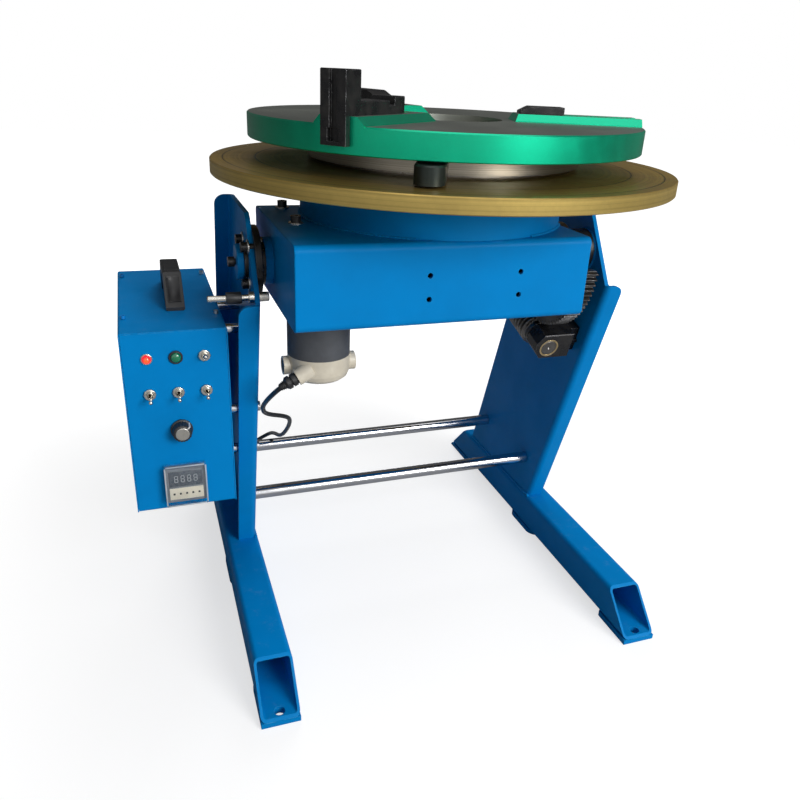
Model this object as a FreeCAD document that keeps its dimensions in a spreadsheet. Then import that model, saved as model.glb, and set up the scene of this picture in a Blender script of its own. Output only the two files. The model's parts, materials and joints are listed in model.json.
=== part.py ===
"""Bench welding positioner: a worm-tilted turntable on a two-post stand, with a three-jaw chuck and a control box.

Frame: millimetres, +Z up, +X to the operator's right along the tilt axis, +Y away from the operator.
The origin is the centre of the floor bolt pattern, at floor level.
"""

import FreeCAD, Part

import math
import os
import re

import Sketcher

App = FreeCAD
Vec = App.Vector

doc = App.newDocument("WeldingPositioner")
sheet = doc.addObject("Spreadsheet::Sheet", "Sizes")

# ---------------------------------------------------------------- driving dimensions
SIZES = {
    # stand
    "post_gap": 486, "post_sheet": 6, "post_deep": 250, "post_high": 585, "post_front": -5,
    "post_lean": 18, "post_knee": 487, "post_chin": -76, "post_chin_up": 579, "post_crown": -67,
    "flange_wide": 27, "bend_inner": 3,
    "flange_round": 14, "foot_wide": 50, "foot_high": 56, "foot_long": 650, "foot_wall": 3.5,
    "foot_corner": 7, "foot_overlap": 4, "floor_hole": 14, "floor_hole_in": 13,
    "pad_thick": 7.5, "pad_front_long": 72, "pad_mid_long": 90, "pad_mid_at": 5,
    "rod_dia": 20, "rod_front_at": 21, "rod_rear_at": 180, "rod_up": 130, "rod_bolt": 10,
    # tilt axis and its bearings
    "tilt_at": -70, "tilt_up": 525, "shaft_dia": 30, "run_gap": 0.05, "hub_dia": 46, "hub_out": 5,
    "hub_plate_dia": 90, "hub_plate_thick": 8.5, "hub_bolt_half": 23, "hub_bolt": 8,
    "cap_dia": 44, "cap_thick": 8, "collar_dia": 59, "collar_long": 5, "collar_gap": 1, "boss_long": 9.5, "end_gap": 0.5, "seat_gap": 0.3,
    "sleeve_long": 29, "stop_y": -125, "stop_up": 494, "stop_dia": 8,
    # tilting beam
    "beam_deep": 262, "beam_low": 477, "beam_high": 99.5, "beam_sheet": 4, "beam_round": 1.5,
    "cap_rear_x": -187, "cap_rear_y": 10, "cap_front_x": -191, "cap_front_y": -99,
    "beam_bend": 8, "beam_hole": 6.6,
    "beam_hole_left": -60, "beam_hole_pitch": 117, "beam_hole_low": 509.5, "beam_hole_rise": 28.5,
    # worm drive of the tilt
    "wheel_teeth": 84, "wheel_modul": 2.5, "wheel_wide": 22, "wheel_hub_dia": 80, "wheel_hub_long": 28, "wheel_gap": 4.5,
    "wheel_web_dia": 180, "wheel_web_thick": 12,
    "wheel_cut": 6,
    "worm_pitch_dia": 44, "worm_thread_long": 52, "worm_neck_dia": 25, "mesh_slack": 0.35,
    "block_near": 38.6, "block_thick": 30, "block_radius": 22, "block_up": 23, "block_down": 18,
    "block_reach": 37, "bush_dia": 30, "bracket_back": 14, "block_bolt_in": 15,
    "wheel_rim_out": 100, "handwheel_at": 92, "handwheel_bar": 9, "handwheel_thick": 12,
    # spindle, turntable and spindle drive
    "spin_x": 15.5, "spin_y": -53, "drum_x": 2, "drum_y": -51.5, "drum_dia": 348, "drum_wall": 5, "drum_top": 626, "drum_floor": 6,
    "spindle_dia": 60, "spindle_bore": 40, "bearing_dia": 92, "bearing_low": 502, "bearing_top": 599,
    "spindle_flange": 150, "flange_thick": 10, "housing_flange": 136, "housing_flange_thick": 8,
    "table_dia": 600, "table_thick": 18, "table_top": 645.5, "table_bore": 50,
    "gear_teeth": 78, "pinion_teeth": 15, "gear_thick": 14, "gear_slack": 0.3,
    "pinion_shaft": 16, "pinion_angle": 202.5,
    # motor and gearbox
    "motor_x": -170, "motor_y": -130, "motor_dia": 80, "motor_low": 419, "endcap_low": 385,
    "brush_dia": 24, "brush_reach": 47, "brush_up": 404, "gland_dia": 17, "gland_up": 402,
    "gearbox_left": 205, "gearbox_long": 115, "gearbox_in": 53, "gearbox_deep": 200, "cable_dia": 6.5,
    # chuck
    "chuck_dia": 504, "chuck_thick": 29, "chuck_low": 671, "chuck_bore": 150, "rib_wide": 62,
    "rib_high": 9, "rib_inner": 92, "rib_slope": 5, "slot_wide": 16, "slot_deep": 12, "jaw_turn": 222,
    "jaw_wide": 31, "jaw_arm_high": 14, "jaw_arm_to": 138, "jaw_post_thick": 28, "jaw_top": 753,
    "jaw_lip": 8, "jaw_lip_low": 680, "jaw_groove": 9, "jaw_groove_deep": 4, "jaw_groove_low": 697, "jaw_slot_low": 684, "jaw_gap": 0.3, "jaw_low_from": 150, "jaw_low_high": 16,
    "spacer_dia": 300, "spacer_foot": 4.5, "scroll_wide": 27, "scroll_thick": 17, "lever_turn": 245,
    "lever_wide": 33, "lever_out": 10, "lever_high": 20,
    # control box
    "box_right": 281, "box_wide": 129, "box_front": -109, "box_deep": 300, "box_low": 203,
    "box_high": 249, "box_sheet": 1.5, "box_round": 3, "panel_pitch": 34.5, "row_top": 418,
    "row_mid": 371, "knob_up": 319, "knob_dia": 25, "knob_long": 17, "lamp_dia": 14.5, "button_dia": 12.5,
    "button_bezel_dia": 17, "button_travel": 2.5, "bush_nut": 14.5, "toggle_dia": 3.6, "toggle_long": 15, "toggle_lean": 12,
    "timer_wide": 48, "timer_at": -346, "timer_up": 241.5, "timer_out": 9, "timer_body_deep": 70,
    "cover_wide": 53.5, "cover_high": 60, "cover_deep": 12, "cover_wall": 1.5, "cover_round": 1.3,
    "handle_wide": 24, "handle_span": 148, "handle_high": 43, "handle_thick": 14, "handle_slope": 38,
    "handle_at": 46, "standoff_dia": 13, "standoff_bolt": 8,
    "off_1_y": -85, "off_1_up": 443, "off_2_y": 25, "off_2_up": 440, "off_3_y": -72, "off_3_up": 324,
    "off_4_y": -48, "off_4_up": 251, "cover_screw_right": -288, "cover_screw_left": -403,
    "cover_screw_rear": 155, "cover_screw_front": -50, "grommet_y": 203, "grommet_up": 122,
    "gland_x": -325, "gland_y": 150,
}
# Sizes that follow from the others.
DERIVED = {
    "beam_left": "post_gap / 2 - hub_plate_thick - collar_gap - collar_long - boss_long",
    "beam_right": "post_gap / 2 - hub_plate_thick - sleeve_long - wheel_gap - wheel_wide - wheel_hub_long",
    "beam_long": "beam_left + beam_right",
    "beam_front": "drum_y - drum_dia / 2 + 0.5",
    "wheel_mid": "beam_right + wheel_hub_long + wheel_wide / 2",
    "gear_modul": "drum_dia / 116",
    "gearbox_front": "beam_front + gearbox_in",
    "scroll_dia": "spacer_dia + 2 * scroll_wide",
    "lever_reach": "chuck_dia / 2 + lever_out",
}
for row, (alias, size) in enumerate(SIZES.items(), start=1):
    sheet.set(f"A{row}", alias)
    sheet.set(f"B{row}", str(size))
    sheet.setAlias(f"B{row}", alias)
doc.recompute()

SIZE_NAME = re.compile(r"\b(" + "|".join(SIZES) + r")\b")
DERIVED_NAME = re.compile(r"\b(" + "|".join(DERIVED) + r")\b")
LEFT, RIGHT = -1, 1
X, Y, Z = Vec(1, 0, 0), Vec(0, 1, 0), Vec(0, 0, 1)


# ---------------------------------------------------------------- helpers
def spelled(text):
    """The expression with every derived size written out in sizes of the sheet."""
    text = str(text)
    while DERIVED_NAME.search(text):
        text = DERIVED_NAME.sub(lambda found: f"({DERIVED[found.group(1)]})", text)
    return text


def named(text):
    """The expression with every size written as a cell of the sheet."""
    return SIZE_NAME.sub(r"Sizes.\1", spelled(text))


def val(text):
    """The value of an expression, for directions, counts and Part's own functions."""
    return float(sheet.evalExpression(spelled(text)))


def vec(at):
    return Vec(*[val(part) for part in at])


def aim(along):
    return App.Rotation(Z, along)


def put(thing, at=("0", "0", "0"), turn=App.Rotation()):
    """Place a part and bind its position to the sheet."""
    thing.Placement = App.Placement(vec(at), turn)
    for axis, part in zip("xyz", at):
        thing.setExpression(f".Placement.Base.{axis}", named(part))
    return thing


def body(label, at=("0", "0", "0"), turn=App.Rotation()):
    part = doc.addObject("PartDesign::Body", label)
    part.Label = label
    return put(part, at, turn)


def sketch(part, plane, shift="0"):
    drawing = part.newObject("Sketcher::SketchObject", f"{part.Name}_sketch")
    origin_plane = next(o for o in part.Origin.OriginFeatures if o.Role == f"{plane}_Plane")
    drawing.AttachmentSupport = (origin_plane, "")
    drawing.MapMode = "FlatFace"
    drawing.AttachmentOffset = App.Placement(Vec(0, 0, val(shift)), App.Rotation())
    drawing.setExpression(".AttachmentOffset.Base.z", named(shift))
    return drawing


def draw(drawing, points):
    """Add a closed outline whose every corner is bound to the sheet; each point is a pair of expressions."""
    first = drawing.GeometryCount
    ends = [Vec(val(a), val(b), 0) for a, b in points]
    count = len(ends)
    drawing.addGeometry([Part.LineSegment(ends[i], ends[(i + 1) % count]) for i in range(count)], False)
    for i in range(count):
        follow = first + (i + 1) % count
        drawing.addConstraint(Sketcher.Constraint("Coincident", first + i, 2, follow, 1))
    for i, (point, texts) in enumerate(zip(ends, points)):
        for kind, place, text in zip(("DistanceX", "DistanceY"), (point.x, point.y), texts):
            index = drawing.addConstraint(Sketcher.Constraint(kind, -1, 1, first + i, 1, place))
            drawing.setExpression(f"Constraints[{index}]", named(text))
    return drawing


def circle(drawing, radius, a="0", b="0"):
    """Add a circle whose centre and radius are bound to the sheet."""
    index = drawing.addGeometry(Part.Circle(Vec(val(a), val(b), 0), Z, val(radius)), False)
    size = drawing.addConstraint(Sketcher.Constraint("Radius", index, val(radius)))
    drawing.setExpression(f"Constraints[{size}]", named(radius))
    for kind, text in (("DistanceX", a), ("DistanceY", b)):
        at = drawing.addConstraint(Sketcher.Constraint(kind, -1, 1, index, 3, val(text)))
        drawing.setExpression(f"Constraints[{at}]", named(text))
    return drawing


def pad(part, drawing, length, back=False, both=False, along=None):
    feature = part.newObject("PartDesign::Pad", f"{part.Name}_pad")
    feature.Profile = drawing
    feature.setExpression("Length", named(length))
    feature.Reversed = back
    feature.Midplane = both
    if along is not None:
        feature.AlongSketchNormal = True
        feature.UseCustomVector = True
        feature.Direction = along
    doc.recompute()
    return feature


def pocket(part, drawing, length=None, back=False, both=False):
    """Cut a sketch into the body, through everything both ways when no length is given."""
    before = part.Shape.Volume
    feature = part.newObject("PartDesign::Pocket", f"{part.Name}_pocket")
    feature.Profile = drawing
    if length is None:
        feature.Type = "ThroughAll"
        feature.Midplane = True
    else:
        feature.setExpression("Length", named(length))
        feature.Reversed = back
        feature.Midplane = both
    doc.recompute()
    if not part.Shape.Volume < before:
        raise RuntimeError(f"a pocket of {part.Label} cuts nothing")
    return feature


def turned(label, points, at=("0", "0", "0"), along=Z):
    """A body turned about its own Z axis from a half outline of (radius, height) pairs."""
    part = body(label, at, aim(along))
    feature = part.newObject("PartDesign::Revolution", f"{label}_turn")
    feature.Profile = draw(sketch(part, "XZ"), points)
    feature.ReferenceAxis = (next(o for o in part.Origin.OriginFeatures if o.Role == "Z_Axis"), [""])
    feature.Angle = 360
    doc.recompute()
    return part


def edge_names(feature, test):
    """Names of the edges whose middle point and direction pass the test."""
    names = []
    for number, edge in enumerate(feature.Shape.Edges, start=1):
        middle = edge.valueAt((edge.FirstParameter + edge.LastParameter) / 2)
        straight = isinstance(edge.Curve, (Part.Line, Part.LineSegment))
        heading = edge.tangentAt(edge.FirstParameter) if straight else None
        if test(middle, heading):
            names.append(f"Edge{number}")
    return names


def dress(part, kind, size, test):
    """Fillet or Chamfer the edges of the body's tip that pass the test."""
    base = part.Tip
    names = edge_names(base, test)
    if not names:
        raise RuntimeError(f"no edge of {part.Label} to dress")
    feature = part.newObject(f"PartDesign::{kind}", f"{part.Name}_{kind.lower()}")
    feature.Base = (base, names)
    feature.setExpression("Radius" if kind == "Fillet" else "Size", named(size))
    doc.recompute()
    return feature


def runs(heading, axis):
    """True where an edge runs along the axis."""
    return heading is not None and abs(abs(heading.dot(axis)) - 1) < 1e-4


def near(a, b, slack=0.05):
    return abs(a - b) < slack


def cylinder(label, radius, length, at=("0", "0", "0"), along=Z):
    part = doc.addObject("Part::Cylinder", label)
    part.Label = label
    part.setExpression("Radius", named(radius))
    part.setExpression("Height", named(length))
    return put(part, at, aim(along))


def block(label, size, at, turn=App.Rotation()):
    """A box of the given size, with its low corner at the place given."""
    part = doc.addObject("Part::Box", label)
    part.Label = label
    for side, text in zip(("Length", "Width", "Height"), size):
        part.setExpression(side, named(text))
    return put(part, at, turn)


def fuse(label, *parts):
    joined = doc.addObject("Part::MultiFuse", label)
    joined.Label = label
    joined.Shapes = list(parts)
    joined.Refine = True
    doc.recompute()
    return joined


def cut(label, base, *tools):
    tool = tools[0] if len(tools) == 1 else fuse(f"{label}_tools", *tools)
    part = doc.addObject("Part::Cut", label)
    part.Label = label
    part.Base = base
    part.Tool = tool
    part.Refine = True
    doc.recompute()
    return part


def group(label, parts):
    """Identical pieces that stay separate solids in one node."""
    bundle = doc.addObject("Part::Compound", label)
    bundle.Label = label
    bundle.Links = list(parts)
    doc.recompute()
    return bundle


def shaped(label, shape, place=App.Placement()):
    """A part made with Part's own functions."""
    part = doc.addObject("Part::Feature", label)
    part.Label = label
    part.Shape = shape
    part.Placement = place
    return part


def minus(text):
    return f"-({text})"


def sided(side, text):
    return text if side == RIGHT else minus(text)


def screw(label, size, grip, at, out, washer=True):
    """A socket-head screw: head outside the face at `at`, shank `grip` deep; `out` points out of the face."""
    head_at = tuple(f"{a} + ({size}) * {0.2 * c:.4f}" for a, c in zip(at, out))
    parts = [cylinder(f"{label}_head", f"{size} * 0.8", size, head_at, out)]
    if washer:
        parts.append(cylinder(f"{label}_washer", f"{size} * 1.05", f"{size} * 0.2", at, out))
    parts.append(cylinder(f"{label}_shank", f"{size} / 2", f"{grip} + {size} * 0.3",
                          tuple(f"{a} - ({grip}) * {c:.4f}" for a, c in zip(at, out)), out))
    socket = cylinder(f"{label}_socket", f"{size} * 0.42", f"{size} * 0.5",
                      tuple(f"{a} + ({size}) * {0.75 * c:.4f}" for a, c in zip(at, out)), out)
    return cut(label, fuse(f"{label}_solid", *parts), socket)


NODES = {}


def node(part):
    """Register a finished sub-part under its label."""
    NODES[part.Label] = part
    return part


# ---------------------------------------------------------------- shared places
LEAN = math.radians(val("post_lean"))
FOOT_TOP = "(pad_thick + foot_high)"
FOOT_X = "(post_gap / 2 - foot_overlap + foot_wide / 2)"
POST_IN = "(post_gap / 2)"
POST_OUT = "(post_gap / 2 + post_sheet)"
BEAM_RIGHT = "beam_right"
BEAM_TOP = "(beam_low + beam_high)"
WHEEL_PITCH = "(wheel_teeth * wheel_modul / 2)"
MESH_REACH = "(wheel_teeth * wheel_modul / 2 + worm_pitch_dia / 2)"
TABLE_LOW = "(table_top - table_thick)"
CHUCK_TOP = "(chuck_low + chuck_thick)"
SPIN = ("spin_x", "spin_y")
PANEL_MID = "(-box_right - box_wide / 2)"
BOX_TOP = "(box_low + box_high)"
GEAR_REACH = "((gear_teeth + pinion_teeth) * gear_modul / 2)"
PINION_X = f"(spin_x + {GEAR_REACH} * cos(pinion_angle))"
PINION_Y = f"(spin_y + {GEAR_REACH} * sin(pinion_angle))"
GEAR_LOW = f"({TABLE_LOW} - 10 - gear_thick)"


# ---------------------------------------------------------------- stand
def foot(label, side):
    """A rectangular tube with both ends cut back at 45 degrees, open at the ends."""
    tube = body(label, (sided(side, FOOT_X), "0", "pad_thick"))
    side_view = draw(sketch(tube, "YZ"), [
        ("-foot_long / 2", "0"), ("foot_long / 2", "0"),
        ("foot_long / 2 - foot_high", "foot_high"), ("foot_high - foot_long / 2", "foot_high"),
    ])
    pad(tube, side_view, "foot_wide", both=True)
    along = lambda heading: runs(heading, Y)
    dress(tube, "Fillet", "foot_corner", lambda middle, heading: along(heading))
    bore = draw(sketch(tube, "XZ"), [
        ("foot_wall - foot_wide / 2", "foot_wall"), ("foot_wide / 2 - foot_wall", "foot_wall"),
        ("foot_wide / 2 - foot_wall", "foot_high - foot_wall"),
        ("foot_wall - foot_wide / 2", "foot_high - foot_wall"),
    ])
    pocket(tube, bore)
    inner = val("foot_wide / 2 - foot_wall")
    dress(tube, "Fillet", "foot_corner - foot_wall",
          lambda middle, heading: along(heading) and near(abs(middle.x), inner)
          and (near(middle.z, val("foot_wall")) or near(middle.z, val("foot_high - foot_wall"))))
    holes = sketch(tube, "XY", "-1")
    for end in ("foot_long / 2 - floor_hole_in", "floor_hole_in - foot_long / 2"):
        circle(holes, "floor_hole / 2", "0", end)
    pocket(tube, holes, "foot_wall + 2", back=True)
    return node(tube)


def foot_pads():
    """Sole plates welded under each foot: one at each end, with the bolt hole, and one at mid length."""
    pads = []
    for side in (LEFT, RIGHT):
        front = body(f"pad_front_{side + 1}", (sided(side, FOOT_X), "-foot_long / 2", "0"))
        pad(front, draw(sketch(front, "XY"), [
            ("-foot_wide / 2", "0"), ("foot_wide / 2", "0"),
            ("foot_wide / 2", "pad_front_long"), ("-foot_wide / 2", "pad_front_long")]), "pad_thick")
        pocket(front, circle(sketch(front, "XY"), "floor_hole / 2", "0", "floor_hole_in"))
        dress(front, "Fillet", "foot_corner",
              lambda middle, heading: runs(heading, Z) and middle.y > val("pad_front_long / 2"))
        middle_pad = body(f"pad_middle_{side + 1}", (sided(side, FOOT_X), "pad_mid_at", "0"))
        pad(middle_pad, draw(sketch(middle_pad, "XY"), [
            ("-foot_wide / 2", "-pad_mid_long / 2"), ("foot_wide / 2", "-pad_mid_long / 2"),
            ("foot_wide / 2", "pad_mid_long / 2"), ("-foot_wide / 2", "pad_mid_long / 2")]), "pad_thick")
        dress(middle_pad, "Fillet", "foot_wide * 0.4", lambda middle, heading: runs(heading, Z))
        # The slanted end of the tube runs on through the rear sole plate down to the floor.
        rear = body(f"pad_rear_{side + 1}", (sided(side, FOOT_X), "foot_long / 2", "0"))
        pad(rear, draw(sketch(rear, "YZ"), [
            ("-pad_front_long", "0"), ("pad_thick", "0"), ("0", "pad_thick"), ("-pad_front_long", "pad_thick")]),
            "foot_wide", both=True)
        pocket(rear, circle(sketch(rear, "XY"), "floor_hole / 2", "0", "-floor_hole_in"))
        dress(rear, "Fillet", "foot_corner",
              lambda middle, heading: runs(heading, Z) and middle.y < -val("pad_front_long / 2"))
        pads += [front, middle_pad, rear]
    return node(group("foot_pads", pads))


def post(label, side):
    """A leaning channel folded from sheet, its flanges turned outward; the front flange stops at the knee."""
    channel = body(label, ("0", "0", FOOT_TOP))
    slant = math.cos(LEAN)
    wall = f"(post_sheet / {slant:.6f})"
    inner, outer, lip = POST_IN, POST_OUT, "(post_gap / 2 + flange_wide)"
    front, rear = "post_front", "(post_front + post_deep)"
    section = [(inner, front), (lip, front), (lip, f"{front} + {wall}"), (outer, f"{front} + {wall}"),
               (outer, f"{rear} - {wall}"), (lip, f"{rear} - {wall}"), (lip, rear), (inner, rear)]
    rise = Vec(0, -math.sin(LEAN), math.cos(LEAN))
    drawing = draw(sketch(channel, "XY"), [(sided(side, a), b) for a, b in section])
    pad(channel, drawing, f"post_high - {FOOT_TOP}", along=rise)

    def bend(x):
        return lambda middle, heading: runs(heading, rise) and near(abs(middle.x), val(x))
    dress(channel, "Fillet", "bend_inner + post_sheet", bend(inner))
    dress(channel, "Fillet", "bend_inner", bend(outer))

    # The flange ends at the knee; above it the bare web slopes back to the crown.
    lean_back = math.tan(LEAN)
    knee = f"(post_knee - {FOOT_TOP})"
    knee_front = f"(post_front - {knee} * {lean_back:.6f})"
    crown = f"(post_high - {FOOT_TOP})"
    clear = f"{knee_front} - post_deep"
    chin = f"(post_chin_up - {FOOT_TOP})"
    away = sketch(channel, "YZ")
    draw(away, [(clear, knee), (f"{knee_front} + post_sheet + 1", knee), ("post_chin", chin),
                ("post_crown", crown), ("post_crown", f"{crown} + post_sheet"), (clear, f"{crown} + post_sheet")])
    pocket(channel, away)
    tip = val("post_gap / 2 + flange_wide")
    dress(channel, "Fillet", "flange_round",
          lambda middle, heading: near(abs(middle.x), tip) and runs(heading, Y) and middle.z > val(knee) - 1)

    # Holes: bearing hub and tie rods; then hub screws, stop, standoffs and cable, or the worm bracket.
    holes = sketch(channel, "YZ")
    circle(holes, "hub_dia / 2 + seat_gap", "tilt_at", f"tilt_up - {FOOT_TOP}")
    for place in ("rod_front_at", "rod_rear_at"):
        circle(holes, "rod_bolt / 2 + seat_gap", place, f"rod_up - {FOOT_TOP}")
    if side == LEFT:
        for a, b in CORNERS:
            circle(holes, "hub_bolt / 2 + seat_gap", f"tilt_at + {a} * hub_bolt_half",
                   f"tilt_up - {FOOT_TOP} + {b} * hub_bolt_half")
        circle(holes, "stop_dia / 2 + seat_gap", "stop_y", f"stop_up - {FOOT_TOP}")
        for place, height in STANDOFFS:
            circle(holes, "standoff_bolt / 2 + seat_gap", place, f"{height} - {FOOT_TOP}")
        circle(holes, "cable_dia / 2 + 3", GROMMET[0], f"{GROMMET[1]} - {FOOT_TOP}")
    else:
        for place, height in BRACKET_BOLTS:
            circle(holes, "hub_bolt / 2 + seat_gap", place, f"{height} - {FOOT_TOP}")
    pocket(channel, holes)
    return node(channel)


CORNERS = ((-1, -1), (-1, 1), (1, -1), (1, 1))
STANDOFFS = tuple((f"off_{number}_y", f"off_{number}_up") for number in range(1, 5))
GROMMET = ("grommet_y", "grommet_up")


# Worm frame: origin on the worm axis below the wheel, Y along the worm, Z towards the wheel.
WORM_TURN = App.Rotation(X, val("post_lean"))
WORM_AT = ("wheel_mid", f"tilt_at + {MESH_REACH} * {math.sin(LEAN):.6f}",
           f"tilt_up - {MESH_REACH} * {math.cos(LEAN):.6f}")


def from_worm(x, y, z):
    """Expressions for a point given in the worm frame."""
    c, s = math.cos(LEAN), math.sin(LEAN)
    return (f"{WORM_AT[0]} + {x}", f"{WORM_AT[1]} + ({y}) * {c:.6f} - ({z}) * {s:.6f}",
            f"{WORM_AT[2]} + ({y}) * {s:.6f} + ({z}) * {c:.6f}")


BRACKET_BOLTS = tuple(from_worm("0", f"{a} * (block_near + block_bolt_in)", "0")[1:] for a in (-1, 1))


def tie_rods():
    for name, place in (("tie_rod_front", "rod_front_at"), ("tie_rod_rear", "rod_rear_at")):
        rod = turned(name, [("0", "0"), ("rod_dia / 2 - 1", "0"), ("rod_dia / 2", "1"),
                            ("rod_dia / 2", "post_gap - 1"), ("rod_dia / 2 - 1", "post_gap"), ("0", "post_gap")],
                     (f"-{POST_IN}", place, "rod_up"), X)
        for end, back in (("0", True), ("post_gap", False)):
            pocket(rod, circle(sketch(rod, "XY", end), "rod_bolt / 2"), "22", back=back)
        node(rod)
    bolts = []
    for side in (LEFT, RIGHT):
        for number, place in enumerate(("rod_front_at", "rod_rear_at")):
            bolts.append(screw(f"rod_screw_{side + 1}_{number}", "rod_bolt", "post_sheet + 20",
                               (sided(side, POST_OUT), place, "rod_up"), X * side))
    node(group("tie_rod_screws", bolts))


def bearing_housing(label, side):
    """The tilt bearing: a screwed flange on the left, and a welded sleeve that keeps the wheel on the right."""
    bore, sleeve = "shaft_dia / 2 + run_gap", "(hub_plate_thick + sleeve_long)"
    rim, root, tail = "hub_plate_dia / 2", "hub_dia / 2", "(post_sheet + hub_out)"
    if side == LEFT:
        inside = [(bore, minus("hub_plate_thick")), (f"{rim} - 1", minus("hub_plate_thick")),
                  (rim, "1 - hub_plate_thick"), (rim, "0")]
    else:
        inside = [(bore, minus(sleeve)), ("collar_dia / 2 - 2", minus(sleeve)),
                  ("collar_dia / 2", f"2 - {sleeve}"), ("collar_dia / 2", "0")]
    hub = turned(label, inside + [(root, "0"), (root, f"{tail} - 1"), (f"{root} - 1", tail), (bore, tail)],
                 (sided(side, POST_IN), "tilt_at", "tilt_up"), X * side)
    if side == LEFT:
        threads = sketch(hub, "XY")
        for a, b in CORNERS:
            circle(threads, "hub_bolt / 2", f"{a} * hub_bolt_half", f"{b} * hub_bolt_half")
        pocket(hub, threads, "hub_plate_thick")
    return node(hub)


def bearing_screws():
    screws = []
    for number, (a, b) in enumerate(CORNERS):
        place = (minus(POST_OUT), f"tilt_at + {a} * hub_bolt_half", f"tilt_up + {b} * hub_bolt_half")
        screws.append(screw(f"hub_screw_{number}", "hub_bolt", "post_sheet + hub_plate_thick", place, -X))
    return node(group("bearing_screws", screws))


def stop_bolt():
    """The tilt stop: a threaded pin through the left post with a locknut, a sleeve and a cushioned tip."""
    r, web = "stop_dia / 2", "post_sheet"
    return node(turned("stop_bolt", [
        ("0", "-12"), (f"{r} + 1.2", "-12"), (f"{r} + 2", "-11"), (f"{r} + 2", "0"), (r, "0"), (r, web),
        (f"{r} * 1.75", web), (f"{r} * 1.75", f"{web} + 6.5"), (r, f"{web} + 6.5"), (r, f"{web} + 16"),
        (f"{r} + 2", f"{web} + 16"), (f"{r} + 2", f"{web} + 33"), (r, f"{web} + 33"), (r, f"{web} + 55"),
        (f"{r} - 1", f"{web} + 56"), ("0", f"{web} + 56")], (minus(POST_IN), "stop_y", "stop_up"), -X))


# ---------------------------------------------------------------- gears and worm
def gear_outline(teeth, modul, pressure, slack, turn, addendum=1.0, dedendum=1.25):
    """Corner points of an involute gear: tooth 0 is centred on the angle `turn` (degrees)."""
    pitch = teeth * modul / 2
    base = pitch * math.cos(math.radians(pressure))
    tip, root = pitch + addendum * modul, pitch - dedendum * modul
    involute = lambda a: math.tan(a) - a
    half_at_pitch = math.pi / 2 / teeth - slack / 2 / pitch
    start = max(root, base)
    flank = [(root, None)] if root < base else []
    flank += [(start + (tip - start) * step / 4, None) for step in range(5)]
    rising = []
    for radius, _ in flank:
        open_by = involute(math.radians(pressure)) - involute(math.acos(min(1.0, base / radius)))
        rising.append((radius, half_at_pitch + open_by))
    points = []
    for tooth in range(teeth):
        middle = math.radians(turn) + 2 * math.pi * tooth / teeth
        for radius, half in rising:
            points.append((radius, middle - half))
        for radius, half in reversed(rising):
            points.append((radius, middle + half))
    return [Vec(r * math.cos(a), r * math.sin(a), 0) for r, a in points]


def toothed_disc(points, thick, twist=0.0):
    """A disc from a toothed outline; `twist` (degrees) turns the far face for helical teeth."""
    low = Part.makePolygon(points + points[:1])
    if not twist:
        return Part.Face(low).extrude(Vec(0, 0, thick))
    high = low.copy()
    low.rotate(Vec(), Z, -twist / 2)
    high.rotate(Vec(), Z, twist / 2)
    high.translate(Vec(0, 0, thick))
    return Part.makeLoft([low, high], True, True)


def bored(shape, dia, length):
    return shape.cut(Part.makeCylinder(dia / 2, length + 2, Vec(0, 0, -1), Z))


def bored_round(shape, holes, circle_dia, dia, length, turn=0.0):
    for number in range(holes):
        angle = math.radians(turn) + 2 * math.pi * number / holes
        at = Vec(circle_dia / 2 * math.cos(angle), circle_dia / 2 * math.sin(angle), -1)
        shape = shape.cut(Part.makeCylinder(dia / 2, length + 2, at, Z))
    return shape


def worm_wheel():
    """The tilt sector: half a worm wheel, since the table tilts 90 degrees only, on a full round hub."""
    wide, teeth, modul = val("wheel_wide"), int(val("wheel_teeth")), val("wheel_modul")
    lead_angle = math.degrees(math.atan(modul / val("worm_pitch_dia")))
    twist = math.degrees(wide * math.tan(math.radians(lead_angle)) / val(WHEEL_PITCH))
    outline = gear_outline(teeth, modul, 20, val("mesh_slack"), -90 + math.degrees(LEAN), 1.0, 1.2)
    rim = toothed_disc(outline, wide, twist)
    recess = (wide - val("wheel_web_thick")) / 2
    ring = Part.makeCylinder(val("wheel_web_dia") / 2, recess, Vec(), Z)
    ring = ring.cut(Part.makeCylinder(val("wheel_hub_dia") / 2, recess, Vec(), Z))
    for height in (0, wide - recess):
        groove = ring.copy()
        groove.translate(Vec(0, 0, height))
        rim = rim.cut(groove)
    tip = val(WHEEL_PITCH) + 2 * modul
    rim = rim.cut(Part.makeBox(2 * tip, tip + 20, wide + 2, Vec(-tip, -val("wheel_cut"), -1)))
    reach = val("wheel_hub_long")
    hub = Part.makeCylinder(val("wheel_hub_dia") / 2, wide + reach, Vec(0, 0, -reach), Z)
    wheel = rim.fuse(hub).removeSplitter()
    wheel = wheel.cut(Part.makeCylinder(val("shaft_dia / 2"), wide + reach + 2, Vec(0, 0, -reach - 1), Z))
    # The outline is drawn in the wheel's own plane, with Z along the tilt axis, x to the rear and y up.
    turn = App.Rotation(Y, Z, X, "ZXY")
    place = App.Placement(Vec(val("wheel_mid - wheel_wide / 2"), val("tilt_at"), val("tilt_up")), turn)
    return node(shaped("worm_wheel", wheel, place))


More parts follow.
